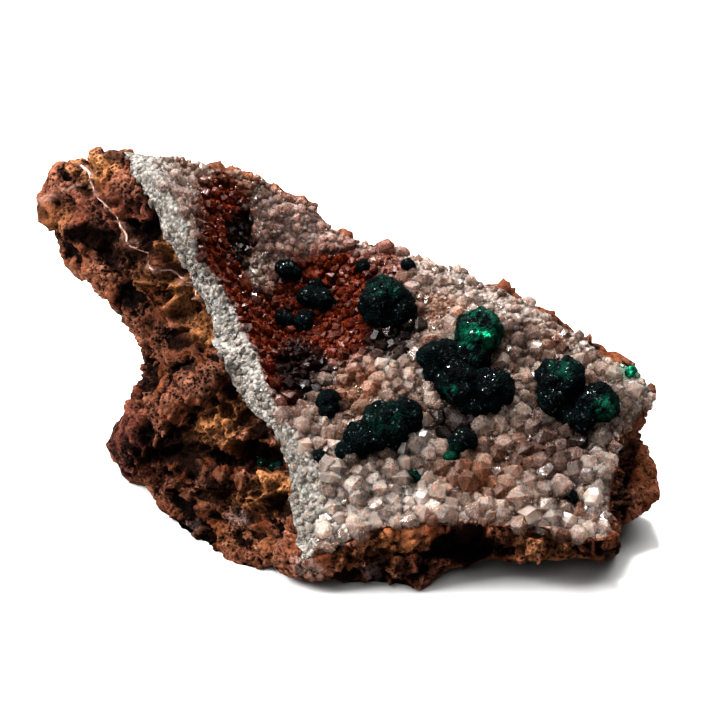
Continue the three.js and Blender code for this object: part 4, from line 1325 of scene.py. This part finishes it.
# Crystals: each has a tint of its own, clouds inside, and is darker at its foot than at its point, painted
# shade where the crystals crowd.
def crystalMaterial(grain, name, brightness, roughness, refraction, clearness):
    material, tree, shader = startMaterial(name)
    patches, specks, height = useGroup(tree, grain, Patch_Scale=420.0, Speck_Scale=3000.0)
    tint = mark(tree, "tint")
    colour = quartzColour(tree, tint, brightness)
    cloud = stretch(tree, tint, 0.0, 1.0, 0.62, 1.12)
    cloud = times(tree, cloud, stretch(tree, patches, 0.35, 0.65, 0.8, 1.08))
    cloud = times(tree, cloud, stretch(tree, specks, 0.38, 0.62, 0.92, 1.04))
    # Painted shade: darker at the foot, among the other crystals.
    cloud = times(tree, cloud, stretch(tree, mark(tree, "tip"), 0.3, 0.95, 0.65, 1.06))
    colour = mixColour(tree, 1.0, colour, cloud, "MULTIPLY")
    tree.links.new(colour, shader.inputs["Base Color"])
    tree.links.new(stretch(tree, specks, 0.35, 0.7, *roughness), shader.inputs["Roughness"])
    addBump(tree, shader, height, 0.3, 0.00012)
    settings = {
        "IOR": refraction,
        "Specular IOR Level": 0.2,
        "Transmission Weight": clearness,
        "Subsurface Weight": 1.0,
        "Subsurface Radius": (1.0, 0.7, 0.55),
        "Subsurface Scale": 0.0009,
    }
    for socket, value in settings.items():
        shader.inputs[socket].default_value = value
    return material


def veinMaterial(grain):
    material, tree, shader = startMaterial("vein quartz")
    specks = useGroup(tree, grain, Patch_Scale=900.0, Speck_Scale=4000.0)["Specks"]
    colour = mixColour(tree, stretch(tree, specks, 0.35, 0.65), (0.26, 0.13, 0.1, 1), (0.5, 0.33, 0.27, 1))
    tree.links.new(colour, shader.inputs["Base Color"])
    tree.links.new(stretch(tree, specks, 0.3, 0.7, 0.7, 0.4), shader.inputs["Roughness"])
    addBump(tree, shader, specks, 0.8, 0.0003)
    return material


malachiteLook = {
    "deep": [(0.0002, 0.0006, 0.0011, 1), (0.0004, 0.0028, 0.0032, 1)],
    # between is painted shade in the gaps between knobs.
    "between": (0.0004, 0.001, 0.0015, 1),  # in the gaps between knobs
    # lit and emerald: partly the malachite's green, partly painted light on knob tops and a painted
    # highlight.
    "lit": (0.006, 0.15, 0.085, 1),
    "emerald": (0.02, 0.42, 0.22, 1),  # in the brightest spots
    # glint is a painted glint on tiny faces.
    "glint": (0.008, 0.07, 0.06, 1),
}


# Near-black green, green on the knob tops where it is marked bright (partly real green, partly painted light
# and a painted highlight), painted shade between the knobs, painted glints on a few tiny faces, and a coat
# that shines on them.
def malachiteMaterial(grain, facets):
    look = malachiteLook
    material, tree, shader = startMaterial("malachite")
    patches = useGroup(tree, grain, Patch_Scale=700.0, Speck_Scale=3200.0)["Patches"]
    height, shade, _ = useGroup(tree, facets, Scale=4200.0)
    raised = stretch(tree, mark(tree, "knob"), 0.35, 0.85)
    deep = mixColour(tree, stretch(tree, patches, 0.42, 0.65), *look["deep"])
    # Painted shade: darker in the gaps between knobs.
    deep = mixColour(tree, raised, look["between"], deep)
    # Painted light: green on the knob tops where marked bright, partly real green; emerald in the brightest,
    # a painted highlight.
    lit = times(tree, mark(tree, "bright"), times(tree, raised, stretch(tree, patches, 0.4, 0.6)))
    colour = mixColour(tree, lit, deep, look["lit"])
    colour = mixColour(tree, stretch(tree, lit, 0.5, 0.9), colour, look["emerald"])
    # Painted glints: a few tiny faces on the knob tops are lighter.
    glint = times(tree, stretch(tree, shade, 0.8, 0.97), raised)
    colour = mixColour(tree, times(tree, glint, 0.2), colour, look["glint"])
    tree.links.new(colour, shader.inputs["Base Color"])
    shader.inputs["Roughness"].default_value = 0.6
    shader.inputs["Specular IOR Level"].default_value = 0.04
    shine = times(tree, stretch(tree, shade, 0.88, 0.95, 0.0, 0.6), raised)
    tree.links.new(shine, shader.inputs["Coat Weight"])
    shader.inputs["Coat Roughness"].default_value = 0.12
    addBump(tree, shader, height, 1.0, 0.00025)
    return material


# The studio

studio = {
    "brightSide": (0.0, 0.26, 0.965),  # the way to the middle of the bright overhead part of the room
    "edge": (0.6, 0.95),  # where it starts and where it is full, as cosines of the angle from its middle
    "dim": 0.03,
    "bright": 4.2,
    "floor": (0.36, 0.36, 0.356, 1),
    "floorSize": 3.0,
    "backdrop": 1.0,
    "aim": (0, -0.01, 0.02),  # what the lights point at
    # Lights: name, place and width in metres, power.
    "lights": [
        ("top", (0.03, 0.14, 0.42), 0.06, 2.6),
        ("left", (-0.38, -0.06, 0.3), 0.25, 7.0),
        ("front", (-0.1, -0.4, 0.3), 0.3, 1.0),
    ],
}


def makeStudio():
    size = studio["floorSize"]
    mesh = bpy.data.meshes.new("floor")
    corners = [(-size, -size, 0), (size, -size, 0), (size, size, 0), (-size, size, 0)]
    mesh.from_pydata(corners, [], [(0, 1, 2, 3)])
    floor = bpy.data.objects.new("floor", mesh)
    bpy.context.scene.collection.objects.link(floor)
    material, tree, shader = startMaterial("pale floor")
    shader.inputs["Base Color"].default_value = studio["floor"]
    shader.inputs["Roughness"].default_value = 0.7
    mesh.materials.append(material)

    # The room is bright overhead and dim all round. The camera sees it as plain white.
    world = bpy.data.worlds.new("studio")
    bpy.context.scene.world = world
    world.use_nodes = True
    tree = world.node_tree
    place = put(tree, "ShaderNodeTexCoord").outputs["Generated"]
    facing = put(tree, "ShaderNodeVectorMath", {0: place, 1: studio["brightSide"]}, operation="DOT_PRODUCT")
    strength = stretch(tree, facing.outputs["Value"], *studio["edge"], studio["dim"], studio["bright"])
    seen = put(tree, "ShaderNodeLightPath").outputs["Is Camera Ray"]
    strength = put(tree, "ShaderNodeMix", {0: seen, 2: strength, 3: studio["backdrop"]}).outputs[0]
    tree.links.new(strength, tree.nodes["Background"].inputs["Strength"])
    tree.nodes["Background"].inputs["Color"].default_value = (1, 1, 1, 1)

    for name, place, width, power in studio["lights"]:
        data = bpy.data.lights.new(name, "AREA")
        data.size = width
        data.energy = power
        light = bpy.data.objects.new(name, data)
        light.location = place
        toAim = Vector(studio["aim"]) - Vector(place)
        light.rotation_euler = toAim.to_track_quat("-Z", "Y").to_euler()
        bpy.context.scene.collection.objects.link(light)


def makeCamera():
    data = bpy.data.cameras.new("camera")
    data.sensor_width = 36.0
    data.lens = data.sensor_width * sheet["sight"] / sheet["view"]
    camera = bpy.data.objects.new("camera", data)
    middle = Vector((0, -sheet["forward"], sheet["height"])) * millimetre
    back = Vector((0, -np.cos(sheet["lean"]), np.sin(sheet["lean"]))) * sheet["sight"] * millimetre
    camera.location = middle + back
    camera.rotation_euler = (-back).to_track_quat("-Z", "Y").to_euler()
    bpy.context.scene.collection.objects.link(camera)
    bpy.context.scene.camera = camera


makeCamera()
makeStudio()
print("camera and studio made")

grain, facets = grainGroup(), facetGroup()
green = malachiteMaterial(grain, facets)
print("materials made")

dress(rockSurface(), "rock", rockMaterial(grain, facets), "rock")
dress(veinSurface(), "quartz", veinMaterial(grain))
dress(crustSurface(), "quartz", groundMaterial(grain, facets), "quartz_druse")
allBalls = [ball for balls in clusters.values() for ball in balls] + chips
druse = crystalSurface(allBalls)
clear, dull, stainedOrShaded = (crystalMaterial(grain, name, *finish) for name, finish in crystalFinishes.items())
dress(druse, "quartz", clear)
for material in (dull, stainedOrShaded):
    druse.data.materials.append(material)
for node, balls in clusters.items():
    dress(ballSurface(node.replace("malachite", "green"), balls, onCrust), "malachite", green, node)
dress(ballSurface("green_chips", chips, onCrust), "malachite", green)
dress(ballSurface("green_in_cavity", cavityBalls, onRock), "malachite", green)

bpy.context.scene.view_settings.view_transform = "Standard"
bpy.context.scene.view_settings.look = "High Contrast"
